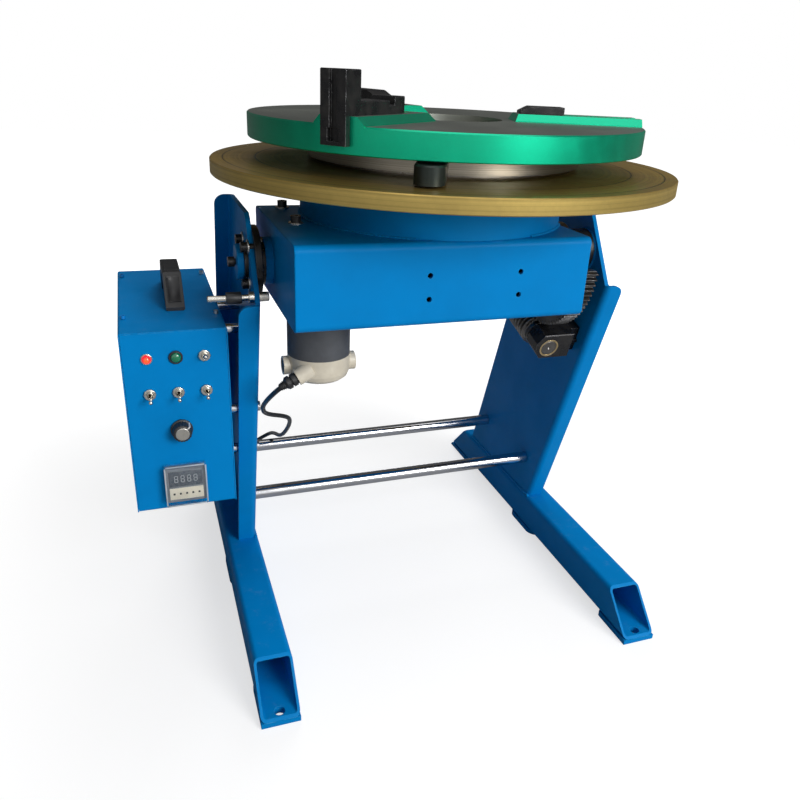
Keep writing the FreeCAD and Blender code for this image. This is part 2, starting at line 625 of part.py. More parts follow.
def worm_thread(pitch_radius, modul, length):
    """A single-start thread of straight-sided section, as short ruled pieces round its helix."""
    lead = math.pi * modul
    turns = length / lead
    half_root = lead / 4 + 1.2 * modul * math.tan(math.radians(20)) - val("mesh_slack") / 2
    half_tip = lead / 4 - modul * math.tan(math.radians(20)) - val("mesh_slack") / 2
    inner, outer = pitch_radius - 1.2 * modul - 0.4, pitch_radius + modul
    half_in = half_root + 0.4 * math.tan(math.radians(20))
    helix = Part.makeHelix(lead, length, pitch_radius)
    helix.translate(Vec(0, 0, -length / 2))
    start = -length / 2
    section = Part.makePolygon([Vec(inner, 0, start - half_in), Vec(outer, 0, start - half_tip),
                                Vec(outer, 0, start + half_tip), Vec(inner, 0, start + half_in),
                                Vec(inner, 0, start - half_in)])
    sweep = Part.Wire(helix).makePipeShell([section], True, True)
    return sweep, turns


def worm_shaft():
    """Worm and its shaft in one piece, along the worm frame's Y; the rear end is stepped for the handwheel."""
    length, modul = val("worm_thread_long"), val("wheel_modul")
    pitch_radius = val("worm_pitch_dia / 2")
    thread, turns = worm_thread(pitch_radius, modul, length)
    # At mid length the crest faces away from the wheel, so the wheel's lowest tooth sits in a gap.
    thread.rotate(Vec(), Z, 90 - 360 * (turns / 2 % 1))
    core, neck, end = pitch_radius - 1.2 * modul, "worm_neck_dia / 2", val("block_near + block_thick")
    body_end = length / 2 + modul * 2.2
    radius = val(neck)
    rear = val("handwheel_at + handwheel_thick / 2 + 6")
    outline = [(0, -end), (radius - 1, -end), (radius, -end + 1), (radius, -body_end), (core, -body_end),
               (core, body_end), (radius, body_end), (radius, end), (radius - 3, end + 1),
               (radius - 3, rear - 1), (radius - 4, rear), (0, rear)]
    profile = Part.Face(Part.makePolygon([Vec(r, 0, h) for r, h in outline + outline[:1]]))
    core_shape = profile.revolve(Vec(), Z, 360)
    shaft = core_shape.fuse(thread).removeSplitter()
    centre = Part.makeCone(0, 2.5, 2.5, Vec(0, 0, -end + 2.5), -Z)
    shaft = shaft.cut(centre)
    # The worm's own Z goes to the worm frame's Y.
    turn = WORM_TURN.multiply(App.Rotation(Vec(1, 0, 0), Vec(0, 0, -1), Vec(0, 1, 0), "ZXY"))
    place = App.Placement(vec(WORM_AT), turn)
    return node(shaped("worm_shaft", shaft, place))


def worm_block(label, end):
    """A bearing block: rounded to the worm's radius on the open side, flat where it meets the bracket."""
    near_end = "block_near" if end > 0 else minus("block_near + block_thick")
    part = body(label, from_worm("0", near_end, "0"), WORM_TURN)
    r = "block_radius"
    corner = "block_radius * 0.5"
    outline = [(f"-{r}", f"-{corner} * 0.4"), (f"-{corner} - 1", "-block_down"), ("block_reach", "-block_down"),
               ("block_reach", "block_up"), (f"-{corner} - 1", "block_up"), (f"-{r}", f"{corner} * 0.8")]
    face = draw(sketch(part, "XZ"), outline)
    pad(part, face, "block_thick", back=True)
    pocket(part, circle(sketch(part, "XZ"), "bush_dia / 2"))
    dress(part, "Chamfer", "1.2", lambda middle, heading: runs(heading, X) and near(middle.z, val("block_up"))
          or runs(heading, Z) and near(middle.x, val("block_reach")))
    holes = sketch(part, "YZ", "bush_dia / 2 + 8")
    circle(holes, "hub_bolt / 2", "block_bolt_in" if end > 0 else "block_thick - block_bolt_in", "0")
    pocket(part, holes, "block_reach", back=True)
    return node(part)


def worm_bushes():
    bushes = []
    for end in (-1, 1):
        start = "block_near" if end > 0 else minus("block_near + block_thick")
        bush = turned(f"worm_bush_{end + 1}", [
            ("worm_neck_dia / 2 + run_gap", "0"), ("bush_dia / 2", "0"), ("bush_dia / 2", "block_thick"),
            ("worm_neck_dia / 2 + run_gap", "block_thick")], from_worm("0", start, "0"),
            WORM_TURN.multVec(Y))
        bushes.append(bush)
    return node(group("worm_bushes", bushes))


def worm_bracket():
    """The bar between the bearing blocks and the right post."""
    half = "(block_near + block_thick - bracket_back)"
    bar = body("worm_bracket", from_worm("0", "0", "0"), WORM_TURN)
    lean_reach = f"({POST_IN} - wheel_mid)"
    pad(bar, draw(sketch(bar, "XY", "-block_down"), [
        ("block_reach", f"-{half}"), (lean_reach, f"-{half}"), (lean_reach, half), ("block_reach", half)]),
        "block_down + block_up")
    dress(bar, "Chamfer", "1.5", lambda middle, heading: runs(heading, Z) and near(middle.x, val("block_reach")))
    holes = sketch(bar, "YZ")
    for end in (-1, 1):
        circle(holes, "hub_bolt / 2 + seat_gap", f"{end} * (block_near + block_bolt_in)", "0")
    pocket(bar, holes)
    return node(bar)


def worm_bolts():
    bolts = []
    for number, (place, height) in enumerate(BRACKET_BOLTS):
        bolts.append(screw(f"worm_bolt_{number}", "hub_bolt", f"{POST_OUT} - wheel_mid - block_reach + 12",
                           (POST_OUT, place, height), X, washer=False))
    return node(group("worm_block_bolts", bolts))


def handwheel():
    """A dished rim on three arms with a boss, pinned to the rear end of the worm shaft."""
    rim_radius, bar = val("wheel_rim_out / 2"), val("handwheel_bar / 2")
    thick, seat = val("handwheel_thick"), val("worm_neck_dia / 2 - 3")
    rim = Part.makeTorus(rim_radius - bar, bar, Vec(), Z)
    boss = Part.makeCylinder(seat + 7, thick + 8, Vec(0, 0, -thick / 2 - 4), Z)
    wheel = rim.fuse(boss)
    for arm in range(3):
        spoke = Part.makeBox(rim_radius - bar - seat - 2, 9, 6, Vec(seat + 2, -4.5, -3))
        spoke.rotate(Vec(), Z, 120 * arm + 30)
        wheel = wheel.fuse(spoke)
    wheel = wheel.removeSplitter().cut(Part.makeCylinder(seat + val("run_gap"), thick + 20,
                                                          Vec(0, 0, -thick / 2 - 10), Z))
    turn = WORM_TURN.multiply(App.Rotation(Vec(1, 0, 0), Vec(0, 0, -1), Vec(0, 1, 0), "ZXY"))
    place = App.Placement(vec(from_worm("0", "handwheel_at", "0")), turn)
    return node(shaped("handwheel", wheel, place))


# ---------------------------------------------------------------- tilting beam
def beam_box():
    """A closed box of bent sheet that carries the spindle, the motor and both stub shafts."""
    box = body("beam_box", (minus("beam_left"), "beam_front", "beam_low"))
    side_view = draw(sketch(box, "YZ"), [("0", "0"), ("beam_deep", "0"), ("beam_deep", "beam_high"),
                                         ("0", "beam_high")])
    pad(box, side_view, "beam_long")
    dress(box, "Fillet", "beam_bend", lambda middle, heading: runs(heading, X))
    dress(box, "Fillet", "beam_round",
          lambda middle, heading: near(middle.x, 0) or near(middle.x, val("beam_long")))
    t = "beam_sheet"
    room = draw(sketch(box, "YZ", t), [(t, t), (f"beam_deep - {t}", t), (f"beam_deep - {t}", f"beam_high - {t}"),
                                       (t, f"beam_high - {t}")])
    pocket(box, room, f"beam_long - 2 * {t}", back=True)
    shift_x, shift_y = "beam_left", minus("beam_front")
    boss = sketch(box, "YZ", "beam_round")
    circle(boss, "collar_dia / 2", f"tilt_at + {shift_y}", "tilt_up - beam_low")
    pad(box, boss, "boss_long + beam_round", back=True)
    up = sketch(box, "XY", f"beam_high - {t} * 2")
    circle(up, "bearing_dia / 2 + seat_gap", f"spin_x + {shift_x}", f"spin_y + {shift_y}")
    circle(up, "pinion_shaft / 2 + 5", f"{PINION_X} + {shift_x}", f"{PINION_Y} + {shift_y}")
    for x, y in BEAM_CAPS:
        circle(up, "hub_bolt / 2 + seat_gap", f"{x} + {shift_x}", f"{y} + {shift_y}")
    circle(up, "1.5", f"cap_front_x + 11 + {shift_x}", "beam_bend + 6")
    pocket(box, up, f"{t} * 4", back=True)
    low = sketch(box, "XY", minus(t))
    circle(low, "motor_dia / 2 + 1.5", f"motor_x + {shift_x}", f"motor_y + {shift_y}")
    pocket(box, low, f"{t} * 3", back=True)
    front = sketch(box, "XZ", minus(f"{t} * 2"))
    for x in ("beam_hole_left", "beam_hole_left + beam_hole_pitch"):
        for z in ("beam_hole_low", "beam_hole_low + beam_hole_rise"):
            circle(front, "beam_hole / 2", f"{x} + {shift_x}", f"{z} - beam_low")
    pocket(box, front, f"{t} * 4", back=True)
    ends = sketch(box, "YZ")
    circle(ends, "shaft_dia / 2", f"tilt_at + {shift_y}", "tilt_up - beam_low")
    pocket(box, ends)
    return node(box)


BEAM_CAPS = (("cap_rear_x", "cap_rear_y"), ("cap_front_x", "cap_front_y"))
DRUM_AT = ("drum_x", "drum_y")


def drum_housing():
    """The round gear case welded on the beam, open at the top under the table; it sits off the spindle axis."""
    high = f"drum_top - {BEAM_TOP}"
    drum = turned("drum_housing", [
        ("0", "0"), ("drum_dia / 2", "0"), ("drum_dia / 2", high), ("drum_dia / 2 - drum_wall", high),
        ("drum_dia / 2 - drum_wall", "drum_floor"), ("0", "drum_floor")], (*DRUM_AT, BEAM_TOP))
    holes = sketch(drum, "XY")
    circle(holes, "bearing_dia / 2 + seat_gap", "spin_x - drum_x", "spin_y - drum_y")
    circle(holes, "pinion_shaft / 2 + 5", f"{PINION_X} - drum_x", f"{PINION_Y} - drum_y")
    pocket(drum, holes)
    return node(drum)


def spindle_housing():
    low, top = "bearing_low", "bearing_top"
    seat = f"({BEAM_TOP} + drum_floor - bearing_low)"
    bore, tube = "spindle_dia / 2 + run_gap", "bearing_dia / 2"
    housing = turned("spindle_housing", [
        (bore, "0"), (f"{tube} - 1.5", "0"), (tube, "1.5"), (tube, seat), ("housing_flange / 2", seat),
        ("housing_flange / 2", f"{seat} + housing_flange_thick - 1"),
        ("housing_flange / 2 - 1", f"{seat} + housing_flange_thick"),
        (tube, f"{seat} + housing_flange_thick"), (tube, f"{top} - {low}"), (bore, f"{top} - {low}")],
        (*SPIN, low))
    return node(housing)


def spindle():
    low = "bearing_low - 6"
    r = "spindle_dia / 2"
    shoulder = "(spindle_dia / 2 + 10)"
    up = lambda text: f"{text} - ({low})"
    flange_low = f"({TABLE_LOW} - flange_thick)"
    part = turned("spindle", [
        ("spindle_bore / 2", "0"), (f"{r} - 1", "0"), (r, "1"), (r, up("bearing_top + run_gap")),
        (shoulder, up("bearing_top + run_gap")), (shoulder, up(GEAR_LOW)), (r, up(GEAR_LOW)),
        (r, up(flange_low)), ("spindle_flange / 2", up(flange_low)), ("spindle_flange / 2", up(TABLE_LOW)),
        ("spindle_bore / 2", up(TABLE_LOW))], (*SPIN, low))
    return node(part)


def spindle_gear():
    teeth, modul, thick = int(val("gear_teeth")), val("gear_modul"), val("gear_thick")
    shape = toothed_disc(gear_outline(teeth, modul, 25, val("gear_slack"), val("pinion_angle")), thick)
    shape = bored(shape, val("spindle_dia"), thick)
    shape = bored_round(shape, 6, 170, 26, thick, 15)
    return node(shaped("spindle_gear", shape, App.Placement(vec((*SPIN, GEAR_LOW)), App.Rotation())))


def drive_pinion():
    """Gearbox output shaft with the pinion cut on it."""
    teeth, modul = int(val("pinion_teeth")), val("gear_modul")
    thick = val("gear_thick") + 2
    outline = gear_outline(teeth, modul, 25, val("gear_slack"), val("pinion_angle") + 180 + 180 / teeth)
    shape = toothed_disc(outline, thick)
    drop = val(f"{GEAR_LOW} - 1 - ({BEAM_TOP} - beam_sheet)") + 10
    shaft = Part.makeCylinder(val("pinion_shaft / 2"), drop + thick + 2, Vec(0, 0, -drop), Z)
    shape = shape.fuse(shaft).removeSplitter()
    place = App.Placement(vec((PINION_X, PINION_Y, f"{GEAR_LOW} - 1")), App.Rotation())
    return node(shaped("drive_pinion", shape, place))


def stub_shafts():
    reach = f"({POST_OUT} + hub_out + end_gap)"
    r, collar, head = "shaft_dia / 2", "collar_dia / 2", "(shaft_dia / 2 + 14)"
    t, ring = "beam_sheet", "(boss_long + collar_long)"
    left = turned("stub_shaft_left", [
        ("0", minus(f"{t} + 8")), (head, minus(f"{t} + 8")), (head, minus(t)), (r, minus(t)), (r, "boss_long"),
        (collar, "boss_long"), (collar, f"{ring} - 1"), (f"{collar} - 1", ring), (r, ring),
        (r, f"{reach} - beam_left"), ("0", f"{reach} - beam_left")], (minus("beam_left"), "tilt_at", "tilt_up"), -X)
    right = turned("stub_shaft_right", [
        ("0", minus(f"{t} + 8")), (head, minus(f"{t} + 8")), (head, minus(t)), (r, minus(t)),
        (r, f"{reach} - {BEAM_RIGHT}"), ("0", f"{reach} - {BEAM_RIGHT}")], (BEAM_RIGHT, "tilt_at", "tilt_up"), X)
    pocket(left, circle(sketch(left, "XY", f"{reach} - beam_left"), "hub_bolt / 2"), "18")
    node(left)
    node(right)


def end_cap():
    """The disc screwed to the left shaft end that keeps the beam from sliding."""
    return node(turned("end_cap", [
        ("hub_bolt / 2 + seat_gap", "0"), ("cap_dia / 2", "0"), ("cap_dia / 2", "cap_thick - 1"),
        ("cap_dia / 2 - 1", "cap_thick"), ("hub_bolt / 2 + seat_gap", "cap_thick")],
        (minus(f"{POST_OUT} + hub_out + end_gap"), "tilt_at", "tilt_up"), -X))


def beam_screws():
    at = (minus(f"{POST_OUT} + hub_out + end_gap + cap_thick"), "tilt_at", "tilt_up")
    screws = [screw("cap_screw", "hub_bolt", "cap_thick + 16", at, -X, washer=False)]
    for number, (x, y) in enumerate(BEAM_CAPS):
        screws.append(screw(f"gearbox_screw_{number}", "hub_bolt", "beam_sheet + 10", (x, y, BEAM_TOP), Z))
    return node(group("beam_screws", screws))


def gearbox():
    box = body("gearbox", (minus("gearbox_left"), "gearbox_front", "beam_low + beam_sheet"))
    high = "(beam_high - 2 * beam_sheet)"
    pad(box, draw(sketch(box, "XY"), [("0", "0"), ("gearbox_long", "0"), ("gearbox_long", "gearbox_deep"),
                                      ("0", "gearbox_deep")]), high)
    dress(box, "Fillet", "6", lambda middle, heading: runs(heading, Z))
    top = sketch(box, "XY", high)
    circle(top, "pinion_shaft / 2 + run_gap", f"{PINION_X} + gearbox_left", f"{PINION_Y} - gearbox_front")
    for x, y in BEAM_CAPS:
        circle(top, "hub_bolt / 2", f"{x} + gearbox_left", f"{y} - gearbox_front")
    pocket(box, top, "14")
    return node(box)


def motor():
    at = ("motor_x", "motor_y", "motor_low")
    r, up = "motor_dia / 2", "(beam_low + beam_sheet - motor_low)"
    can = turned("motor_can", [("0", "0"), (r, "0"), (r, f"{up} - 12"), (f"{r} - 1.5", f"{up} - 12"),
                               (f"{r} - 1.5", f"{up} - 9"), (r, f"{up} - 9"), (r, up), ("0", up)], at)
    node(can)
    drop = "(motor_low - endcap_low)"
    cap = turned("motor_end_cap_turn", [
        ("0", "0"), (f"{r} - 16", "0"), (f"{r} - 8", "2"), (f"{r} - 3", "6"), (f"{r} - 0.6", "12"),
        (r, "18"), (r, drop), ("0", drop)], ("motor_x", "motor_y", "endcap_low"))
    lugs = []
    for side in (LEFT, RIGHT):
        at = (f"motor_x + {side} * (motor_dia / 2 - 8)", "motor_y", "brush_up")
        lugs.append(cylinder(f"brush_lug_{side + 1}", "brush_dia / 2", "brush_reach - motor_dia / 2 + 8", at,
                             X * side))
    lugs.append(cylinder("gland_boss", "gland_dia / 2 + 2", "21", along_gland("-12"), GLAND_WAY))
    cap_shape = fuse("motor_end_cap_solid", cap, *lugs)
    pockets = [cylinder(f"brush_seat_{side + 1}", "brush_dia / 2 - 3", "5",
                        (f"motor_x + {side} * (brush_reach - 4)", "motor_y", "brush_up"), X * side)
               for side in (LEFT, RIGHT)]
    node(cut("motor_end_cap", cap_shape, *pockets))
    plugs = [cylinder(f"brush_plug_{side + 1}", "brush_dia / 2 - 3", "3.5",
                      (f"motor_x + {side} * (brush_reach - 4)", "motor_y", "brush_up"), X * side)
             for side in (LEFT, RIGHT)]
    slots = [block(f"brush_slot_{side + 1}", ("3", "1.6", "12"),
                   (f"motor_x + {side} * (brush_reach - 0.5) - 1.5", "motor_y - 0.8", "brush_up - 6"))
             for side in (LEFT, RIGHT)]
    capped = [cut(f"brush_cap_{number}", plug, slot) for number, (plug, slot) in enumerate(zip(plugs, slots))]
    node(group("brush_caps", capped))


GLAND_WAY = Vec(-0.896, -0.073, -0.438).normalize()
GLAND_ROOT = ("motor_x - motor_dia / 2 * 0.675", "motor_y - motor_dia / 2 * 0.75", "gland_up")


def along_gland(distance):
    return tuple(f"{a} + ({distance}) * {c:.5f}" for a, c in zip(GLAND_ROOT, GLAND_WAY))


def motor_gland():
    r, c = "gland_dia / 2", "cable_dia / 2"
    gland = turned("motor_gland", [
        (c, "0"), (f"{r} - 1", "0"), (f"{r} - 1", "2"), (r, "2"), (r, "7"), (f"{r} - 2", "7.5"), (f"{r} - 2", "8.5"),
        (r, "9"), (r, "14"), (f"{r} - 2.5", "16.5"), (c, "16.5")], along_gland("9"), GLAND_WAY)
    return node(gland)


# ---------------------------------------------------------------- turntable and chuck
def turntable():
    r, t = "table_dia / 2", "table_thick"
    node(turned("table_plate", [
        ("table_bore / 2", "0"), (f"{r} - 1.2", "0"), (r, "1.2"), (r, f"{t} - 1.2"), (f"{r} - 1.2", t),
        ("table_bore / 2", t)], (*SPIN, TABLE_LOW)))
    r, high = "spacer_dia / 2", "(chuck_low - table_top)"
    node(turned("chuck_spacer", [
        ("chuck_bore / 2", "0"), (f"{r} + 8", "0"), (f"{r} + 8", "spacer_foot"), (r, "spacer_foot"), (r, high),
        ("chuck_bore / 2", high)], (*SPIN, "table_top")))


def polar(turn):
    return App.Rotation(Z, turn)


def chuck_body():
    """The chuck disc with three raised ribs, each with a slot that guides a jaw."""
    r, thick = "chuck_dia / 2", "chuck_thick"
    disc = turned("chuck_disc", [
        ("chuck_bore / 2", "0"), (f"{r} - 1", "0"), (r, "1"), (r, f"{thick} - 1.5"), (f"{r} - 1.5", thick),
        ("chuck_bore / 2", thick)], (*SPIN, "chuck_low"))
    ribs, slots = [], []
    for number in range(3):
        turn = polar(val("jaw_turn") + 120 * number)
        rib = body(f"chuck_rib_{number + 1}", (*SPIN, CHUCK_TOP), turn)
        top, inner = "rib_high", "rib_inner"
        side_view = draw(sketch(rib, "XZ"), [
            (f"{inner} - rib_slope", "-1.5"), (inner, top), (f"{r} + 2", top), (f"{r} + 2", "-1.5")])
        pad(rib, side_view, "rib_wide", both=True)
        dress(rib, "Chamfer", "rib_high - 1",
              lambda middle, heading: runs(heading, X) and near(middle.z, val("rib_high")))
        pocket(rib, circle(circle(sketch(rib, "XY"), r), f"{r} + rib_wide"))
        ribs.append(rib)
        slot = body(f"chuck_slot_{number + 1}", (*SPIN, CHUCK_TOP), turn)
        pad(slot, draw(sketch(slot, "XY", "rib_high - slot_deep"), [
            ("rib_inner + 8", "-slot_wide / 2"), (f"{r} + 5", "-slot_wide / 2"), (f"{r} + 5", "slot_wide / 2"),
            ("rib_inner + 8", "slot_wide / 2")]), "slot_deep + 5")
        slots.append(slot)
    whole = cut("chuck_body", fuse("chuck_solid", disc, *ribs), *slots)
    return node(whole)


def jaw(number, kind):
    """A jaw: a key in the slot of its rib, and on top the reach for its kind of work."""
    turn = polar(val("jaw_turn") + 120 * (number - 1))
    at = (*SPIN, CHUCK_TOP)
    gap, r = "jaw_gap", "chuck_dia / 2"
    base = body(f"jaw_{number}_key", at, turn)
    low = "(rib_high - slot_deep + jaw_gap)"
    key_to = f"({r} - 1)"
    key_from = {"tall": "jaw_arm_to + 12", "low": "jaw_low_from + 18", "short": "rib_inner + 9"}[kind]
    if kind == "short":
        key_to = "(rib_inner + 60)"
    pad(base, draw(sketch(base, "XZ"), [(key_from, low), (key_to, low), (key_to, "rib_high + 2"),
                                        (key_from, "rib_high + 2")]), f"slot_wide - 2 * {gap}", both=True)
    top = body(f"jaw_{number}_top", at, turn)
    floor = f"(rib_high + {gap})"
    if kind == "tall":
        lip, post = f"({r} + {gap})", f"({r} + jaw_lip - jaw_post_thick)"
        points = [(f"jaw_arm_to", floor), (lip, floor), (lip, f"jaw_lip_low - {CHUCK_TOP}"),
                  (f"{lip} + jaw_lip", f"jaw_lip_low - {CHUCK_TOP}"), (f"{lip} + jaw_lip", f"jaw_top - {CHUCK_TOP}"),
                  (post, f"jaw_top - {CHUCK_TOP}"), (post, f"{floor} + jaw_arm_high"),
                  ("jaw_arm_to + 34", f"{floor} + jaw_arm_high"), ("jaw_arm_to + 34", f"{floor} + jaw_arm_high - 5"),
                  ("jaw_arm_to + 22", f"{floor} + jaw_arm_high - 5"),
                  ("jaw_arm_to + 22", f"{floor} + jaw_arm_high + 4"), ("jaw_arm_to", f"{floor} + jaw_arm_high + 4")]
    elif kind == "low":
        points = [("jaw_low_from", floor), (f"{r}", floor), (f"{r}", f"{floor} + jaw_low_high"),
                  ("jaw_low_from + 34", f"{floor} + jaw_low_high"), ("jaw_low_from", f"{floor} + 5")]
    else:
        points = [("rib_inner + 4", floor), ("rib_inner + 60", floor), ("rib_inner + 60", f"{floor} + 9"),
                  ("rib_inner + 16", f"{floor} + 9"), ("rib_inner + 4", f"{floor} + 3")]
    pad(top, draw(sketch(top, "XZ"), points), "jaw_wide", both=True)
    if kind == "tall":
        outer = f"({r} + {gap} + jaw_lip)"
        for start, end, wide, deep in (("jaw_groove_low", "jaw_top + 1", "jaw_groove", "jaw_groove_deep"),
                                       ("jaw_slot_low", "jaw_groove_low", "jaw_groove + 5", "jaw_groove_deep + 2")):
            groove = draw(sketch(top, "XY", f"{start} - {CHUCK_TOP}"), [
                (f"{outer} - ({deep})", f"-({wide}) / 2"), (f"{outer} + 2", f"-({wide}) / 2"),
                (f"{outer} + 2", f"({wide}) / 2"), (f"{outer} - ({deep})", f"({wide}) / 2")])
            pocket(top, groove, f"{end} - {start}", back=True)
    dress(top, "Chamfer", "1", lambda middle, heading: runs(heading, X) and middle.z > val("rib_high") + 6)
    return node(fuse(f"jaw_{number}", base, top))


def scroll_ring():
    """The ring under the chuck that moves the jaws, with its lever block."""
    low = "(table_top + spacer_foot + run_gap)"
    ring = turned("scroll_disc", [
        ("spacer_dia / 2 + run_gap", "0"), ("scroll_dia / 2", "0"), ("scroll_dia / 2", "scroll_thick - 1"),
        ("scroll_dia / 2 - 1", "scroll_thick"), ("spacer_dia / 2 + run_gap", "scroll_thick")], (*SPIN, low))
    arm = body("scroll_arm", (*SPIN, low), polar(val("lever_turn")))
    wide = "lever_wide / 2"
    pad(arm, draw(sketch(arm, "XY", "3"), [
        ("scroll_dia / 2 - 6", f"-{wide}"), ("lever_reach - 30", f"-{wide}"), ("lever_reach - 30", wide),
        ("scroll_dia / 2 - 6", wide)]), "scroll_thick - 5")
    lever = body("scroll_lever", (*SPIN, low), polar(val("lever_turn")))
    pad(lever, draw(sketch(lever, "XY", "-2"), [
        ("lever_reach - 60", f"-{wide}"), ("lever_reach", f"-{wide}"), ("lever_reach", wide),
        ("lever_reach - 60", wide)]), "lever_high")
    dress(lever, "Fillet", "lever_wide / 2 - 0.5",
          lambda middle, heading: runs(heading, Z) and near(middle.x, val("lever_reach")))
    dress(lever, "Chamfer", "1.5", lambda middle, heading: middle.z > val("lever_high") - 2.5)
    return node(fuse("scroll_ring", ring, arm, lever))


# ---------------------------------------------------------------- control box
def sheet_box():
    """Front, floor and back in one bent sheet, with a top and side cover over them."""
    t = "box_sheet"
    inner = body("control_box_body", (PANEL_MID, "box_front", "box_low"))
    half = "(box_wide / 2 - box_sheet - seat_gap)"
    shell = draw(sketch(inner, "YZ"), [
        ("0", "0"), ("box_deep", "0"), ("box_deep", f"box_high - {t}"), (f"box_deep - {t}", f"box_high - {t}"),
        (f"box_deep - {t}", t), (t, t), (t, f"box_high - {t}"), ("0", f"box_high - {t}")])
    pad(inner, shell, f"2 * {half}", both=True)
    dress(inner, "Fillet", "box_round", lambda middle, heading: runs(heading, X)
          and (near(middle.y, 0) or near(middle.y, val("box_deep"))) and near(middle.z, 0))
    panel = sketch(inner, "XZ")
    for x, z, r in PANEL_HOLES:
        circle(panel, f"{r} + seat_gap / 2", f"{x} - ({PANEL_MID})", f"{z} - box_low")
    draw(panel, [(f"timer_at {a} timer_wide / 2 - ({PANEL_MID})", f"timer_up {b} timer_wide / 2 - box_low")
                 for a, b in (("-", "-"), ("+", "-"), ("+", "+"), ("-", "+"))])
    pocket(inner, panel, f"{t} * 2")
    floor = sketch(inner, "XY")
    circle(floor, "cable_dia / 2 + 3.5", f"{GLAND_AT[0]} - ({PANEL_MID})", f"{GLAND_AT[1]} - box_front")
    pocket(inner, floor, f"{t} * 2", back=True)
    node(inner)
    cover = body("control_box_cover", (PANEL_MID, "box_front", "box_low"))
    wide = "(box_wide / 2)"
    pad(cover, draw(sketch(cover, "XZ"), [
        (f"-{wide}", "0"), (f"{t} - {wide}", "0"), (f"{t} - {wide}", f"box_high - {t}"),
        (f"{wide} - {t}", f"box_high - {t}"), (f"{wide} - {t}", "0"), (wide, "0"), (wide, "box_high"),
        (f"-{wide}", "box_high")]), "box_deep", back=True)
    dress(cover, "Fillet", "box_round", lambda middle, heading: runs(heading, Y)
          and near(middle.z, val("box_high")) and near(abs(middle.x), val(wide)))
    holes = sketch(cover, "XY", f"box_high - {t} * 2")
    for x, y in COVER_SCREWS:
        circle(holes, "2 + seat_gap / 2", f"{x} - ({PANEL_MID})", f"{y} - box_front")
    pocket(cover, holes, f"{t} * 4", back=True)
    sides = sketch(cover, "YZ", wide)
    for place, height in STANDOFFS:
        circle(sides, "standoff_bolt / 2 + seat_gap", f"{place} - box_front", f"{height} - box_low")
    pocket(cover, sides, f"{t} * 2")
    node(cover)
    screws = [screw(f"cover_screw_{number}", "4", "box_sheet + 4", (x, y, BOX_TOP), Z, washer=False)
              for number, (x, y) in enumerate(COVER_SCREWS)]
    node(group("control_box_screws", screws))


PANEL_X = [f"({PANEL_MID} + {column} * panel_pitch)" for column in (-1, 0, 1)]
TOGGLES = ((PANEL_X[2], "row_top"), (PANEL_X[0], "row_mid"), (PANEL_X[1], "row_mid"), (PANEL_X[2], "row_mid"))
PANEL_HOLES = [(x, z, "4") for x, z in TOGGLES] + [
    (PANEL_X[0], "row_top", "5"), (PANEL_X[1], "row_top", "button_bezel_dia / 2 - 2"), (PANEL_X[1], "knob_up", "5")]
COVER_SCREWS = tuple((f"cover_screw_{x}", f"cover_screw_{y}") for x in ("right", "left") for y in ("rear", "front"))
GLAND_AT = ("gland_x", "gland_y")


def standoffs():
    """Spacer sleeves with through studs and nuts that carry the control box off the left post."""
    parts = []
    for number, (place, height) in enumerate(STANDOFFS):
        long = f"(box_right - {POST_OUT})"
        sleeve = cylinder(f"standoff_{number}", "standoff_dia / 2", long, ("-box_right", place, height), X)
        nut = "standoff_bolt * 0.5"
        stud = cylinder(f"standoff_stud_{number}", "standoff_bolt / 2",
                        f"{long} + post_sheet + box_sheet + {nut} + 7.3", ("-box_right - box_sheet - 7", place, height), X)
        nut_in = cylinder(f"standoff_nut_{number}", "standoff_bolt * 0.85", nut, (f"-{POST_IN}", place, height), X)
        nut_box = cylinder(f"standoff_back_{number}", "standoff_bolt * 0.85", nut,
                           (f"-box_right - box_sheet - {nut}", place, height), X)
        parts.append(fuse(f"standoff_whole_{number}", sleeve, stud, nut_in, nut_box))
    return node(group("control_box_standoffs", parts))


def carry_handle():
    """A moulded handle with sloped legs and a flat grip, open under the grip."""
    part = body("carry_handle", (PANEL_MID + " + 8", "handle_at", BOX_TOP))
    half, t = "(handle_span / 2)", "handle_thick"
    outline = [(f"-{half}", "0"), (f"handle_slope + 4 - {half}", "0"), (f"handle_slope + 20 - {half}", f"handle_high - {t}"),
               (f"{half} - handle_slope - 20", f"handle_high - {t}"), (f"{half} - handle_slope - 4", "0"), (half, "0"),
               (half, "5"), (f"{half} - handle_slope", "handle_high"), (f"handle_slope - {half}", "handle_high"),
               (f"-{half}", "5")]
    pad(part, draw(sketch(part, "YZ"), outline), "handle_wide", both=True)
    dress(part, "Fillet", "3", lambda middle, heading: runs(heading, Y) or near(middle.z, val("handle_high")))
    return node(part)


